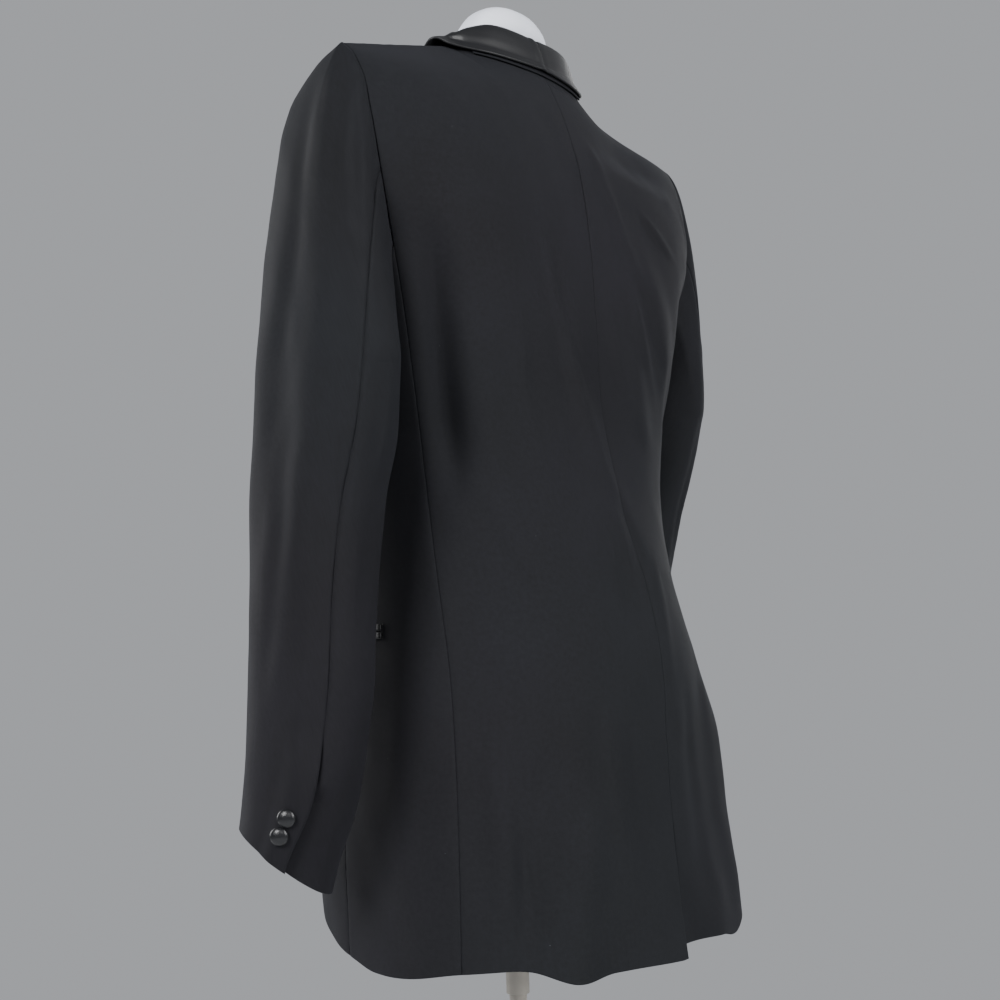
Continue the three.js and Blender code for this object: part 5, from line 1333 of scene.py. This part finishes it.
# Stand. A steel tube under the torso, a pole inside it and a round plate on the floor, painted.
POLE_RADIUS = 7.5
TUBE_RADIUS = 10
TUBE_BOTTOM = 689
BASE = {"radius": 150, "edge": 6, "height": 11, "bevel": 2}
FIT_GAP = 0.3


def paint_material():
    material, nodes, links, shader = new_material("beige paint")
    place = node(nodes, "ShaderNodeTexCoord", "place")
    peel = node(nodes, "ShaderNodeTexNoise", "paint texture", Scale=420.0, Detail=2.0)
    wear = node(nodes, "ShaderNodeTexNoise", "rubbed places", Scale=24.0, Detail=5.0)
    tone = node(nodes, "ShaderNodeValToRGB", "paint colour")
    tone.color_ramp.elements[0].color = (0.25, 0.232, 0.20, 1)
    tone.color_ramp.elements[0].position = 0.28
    tone.color_ramp.elements[1].color = (0.37, 0.345, 0.30, 1)
    tone.color_ramp.elements[1].position = 0.62
    bump = node(nodes, "ShaderNodeBump", "paint relief", Strength=0.1, Distance=0.0003)
    links.new(place.outputs["Object"], peel.inputs["Vector"])
    links.new(place.outputs["Object"], wear.inputs["Vector"])
    links.new(wear.outputs["Fac"], tone.inputs["Fac"])
    links.new(tone.outputs["Color"], shader.inputs["Base Color"])
    links.new(peel.outputs["Fac"], bump.inputs["Height"])
    links.new(bump.outputs["Normal"], shader.inputs["Normal"])
    shader.inputs["Roughness"].default_value = 0.38
    shader.inputs["Metallic"].default_value = 0.1
    return material


PAINT = paint_material()
tube_top = float(FORM_ROWS["z"][0]) - FIT_GAP
inner_radius = POLE_RADIUS + FIT_GAP
tube = [(inner_radius, TUBE_BOTTOM + 0.6), (inner_radius + 0.5, TUBE_BOTTOM), (TUBE_RADIUS - 0.6, TUBE_BOTTOM),
        (TUBE_RADIUS, TUBE_BOTTOM + 0.6), (TUBE_RADIUS, tube_top), (inner_radius, tube_top)]
obj = mesh_object("form_tube_steel", *lathe(tube, 64, closed=True))
finish_piece(obj, PAINT, "steel", "form_tube")
pole = [(0, BASE["height"] + FIT_GAP), (POLE_RADIUS, BASE["height"] + FIT_GAP), (POLE_RADIUS, tube_top), (0, tube_top)]
obj = mesh_object("form_pole_steel", *lathe(pole, 64))
finish_piece(obj, PAINT, "steel", "form_pole")
radius, edge, height, bevel = BASE.values()
plate = [(0, 0), (radius - bevel, 0), (radius - 0.4, 0.5), (radius, bevel), (radius, edge - bevel),
         (radius - 0.5, edge - 0.6), (radius - bevel, edge), (40, height), (0, height)]
obj = mesh_object("form_base_steel", *lathe(plate, 128))
finish_piece(obj, PAINT, "steel", "form_base")
for piece in ("form_tube_steel", "form_pole_steel", "form_base_steel"):
    made = bpy.data.objects[piece]
    for polygon in made.data.polygons:
        polygon.use_smooth = abs(polygon.normal.z) < 0.999
    made.data.set_sharp_from_angle(angle=math.radians(32))


# Studio. A pale floor and pale surroundings, with a broad light high on the wearer's left and softer ones
# all round.
FLOOR_RADIUS = 2.2
SURROUND = (0.39, 0.40, 0.42, 1)
AMBIENT = (0.20, 0.205, 0.22, 1)
turn = np.linspace(0, 2 * math.pi, 96, endpoint=False)
disc = np.concatenate([stack(FLOOR_RADIUS * 1000 * np.cos(turn), FLOOR_RADIUS * 1000 * np.sin(turn), -0.5),
                       [[0, 0, -0.5]]])
floor = mesh_object("floor", disc, [(i, (i + 1) % 96, 96) for i in range(96)])
if floor.data.polygons[0].normal.z < 0:
    floor.data.flip_normals()
floor_paint, nodes, links, shader = new_material("floor")
shader.inputs["Base Color"].default_value = (0.62, 0.63, 0.65, 1)
shader.inputs["Roughness"].default_value = 0.9
floor.data.materials.append(floor_paint)
floor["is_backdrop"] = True

world = bpy.data.worlds.new("studio")
bpy.context.scene.world = world
world.use_nodes = True
nodes, links = world.node_tree.nodes, world.node_tree.links
seen = nodes["Background"]
seen.inputs["Color"].default_value = SURROUND
lit = node(nodes, "ShaderNodeBackground", "light of the room")
lit.inputs["Color"].default_value = AMBIENT
ray = node(nodes, "ShaderNodeLightPath", "seen or lit")
either = node(nodes, "ShaderNodeMixShader", "room")
links.new(ray.outputs["Is Camera Ray"], either.inputs["Fac"])
links.new(lit.outputs["Background"], either.inputs[1])
links.new(seen.outputs["Background"], either.inputs[2])
links.new(either.outputs["Shader"], nodes["World Output"].inputs["Surface"])


def area_light(name, spot, aim, size, watts, colour=(1, 1, 1)):
    light = bpy.data.lights.new(name, "AREA")
    light.shape = "RECTANGLE"
    light.size, light.size_y = size
    light.energy = watts
    light.color = colour
    obj = bpy.data.objects.new(name, light)
    obj.location = spot
    away = unit(np.array(spot, float) - np.array(aim, float))
    right = unit(np.cross([0.0, 0.0, 1.0], away))
    up = np.cross(away, right)
    obj.rotation_mode = "QUATERNION"
    obj.rotation_quaternion = Matrix(np.stack([right, up, away], 1).tolist()).to_quaternion()
    bpy.context.scene.collection.objects.link(obj)
    return obj


area_light("key", (2.7, 0.45, 2.2), (0.1, 0.05, 1.1), (1.2, 1.2), 95)
area_light("back light", (-0.35, 2.9, 2.0), (0, 0, 1.15), (1.6, 1.6), 90)
area_light("camera fill", (1.9, 2.3, 2.1), (0, 0, 1.15), (1.6, 1.6), 18)
area_light("front fill", (0.6, -2.8, 1.8), (0, 0, 1.1), (2.0, 2.0), 60)
area_light("side fill", (-2.8, -0.8, 1.8), (0, 0, 1.1), (2.0, 2.0), 30)

# The camera stands behind the wearer's left shoulder, as in the photograph
CAMERA_TURN = 126.8
CAMERA_DISTANCE = 1.470
CAMERA_HEIGHT = 0.994
CAMERA_PITCH = 4.7
CAMERA_YAW = 0.04
CAMERA_ROLL = -1.97
CAMERA_LENS = 60.264
turn, pitch, roll = math.radians(CAMERA_TURN), math.radians(CAMERA_PITCH), math.radians(CAMERA_ROLL)
aim_turn = turn + math.radians(CAMERA_YAW)
ahead = np.array([-math.sin(aim_turn) * math.cos(pitch), math.cos(aim_turn) * math.cos(pitch), math.sin(pitch)])
right = unit(np.cross(ahead, [0.0, 0.0, 1.0]))
up = np.cross(right, ahead)
right, up = (right * math.cos(roll) + up * math.sin(roll), up * math.cos(roll) - right * math.sin(roll))
camera = bpy.data.objects.new("camera", bpy.data.cameras.new("camera"))
camera.data.lens = CAMERA_LENS
camera.data.sensor_width = 36.0
camera.location = (CAMERA_DISTANCE * math.sin(turn), -CAMERA_DISTANCE * math.cos(turn), CAMERA_HEIGHT)
camera.rotation_mode = "QUATERNION"
camera.rotation_quaternion = Matrix(np.stack([right, up, -ahead], 1).tolist()).to_quaternion()
camera.data.clip_start = 0.05
camera.data.clip_end = 50
bpy.context.scene.collection.objects.link(camera)
bpy.context.scene.camera = camera

low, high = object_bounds()
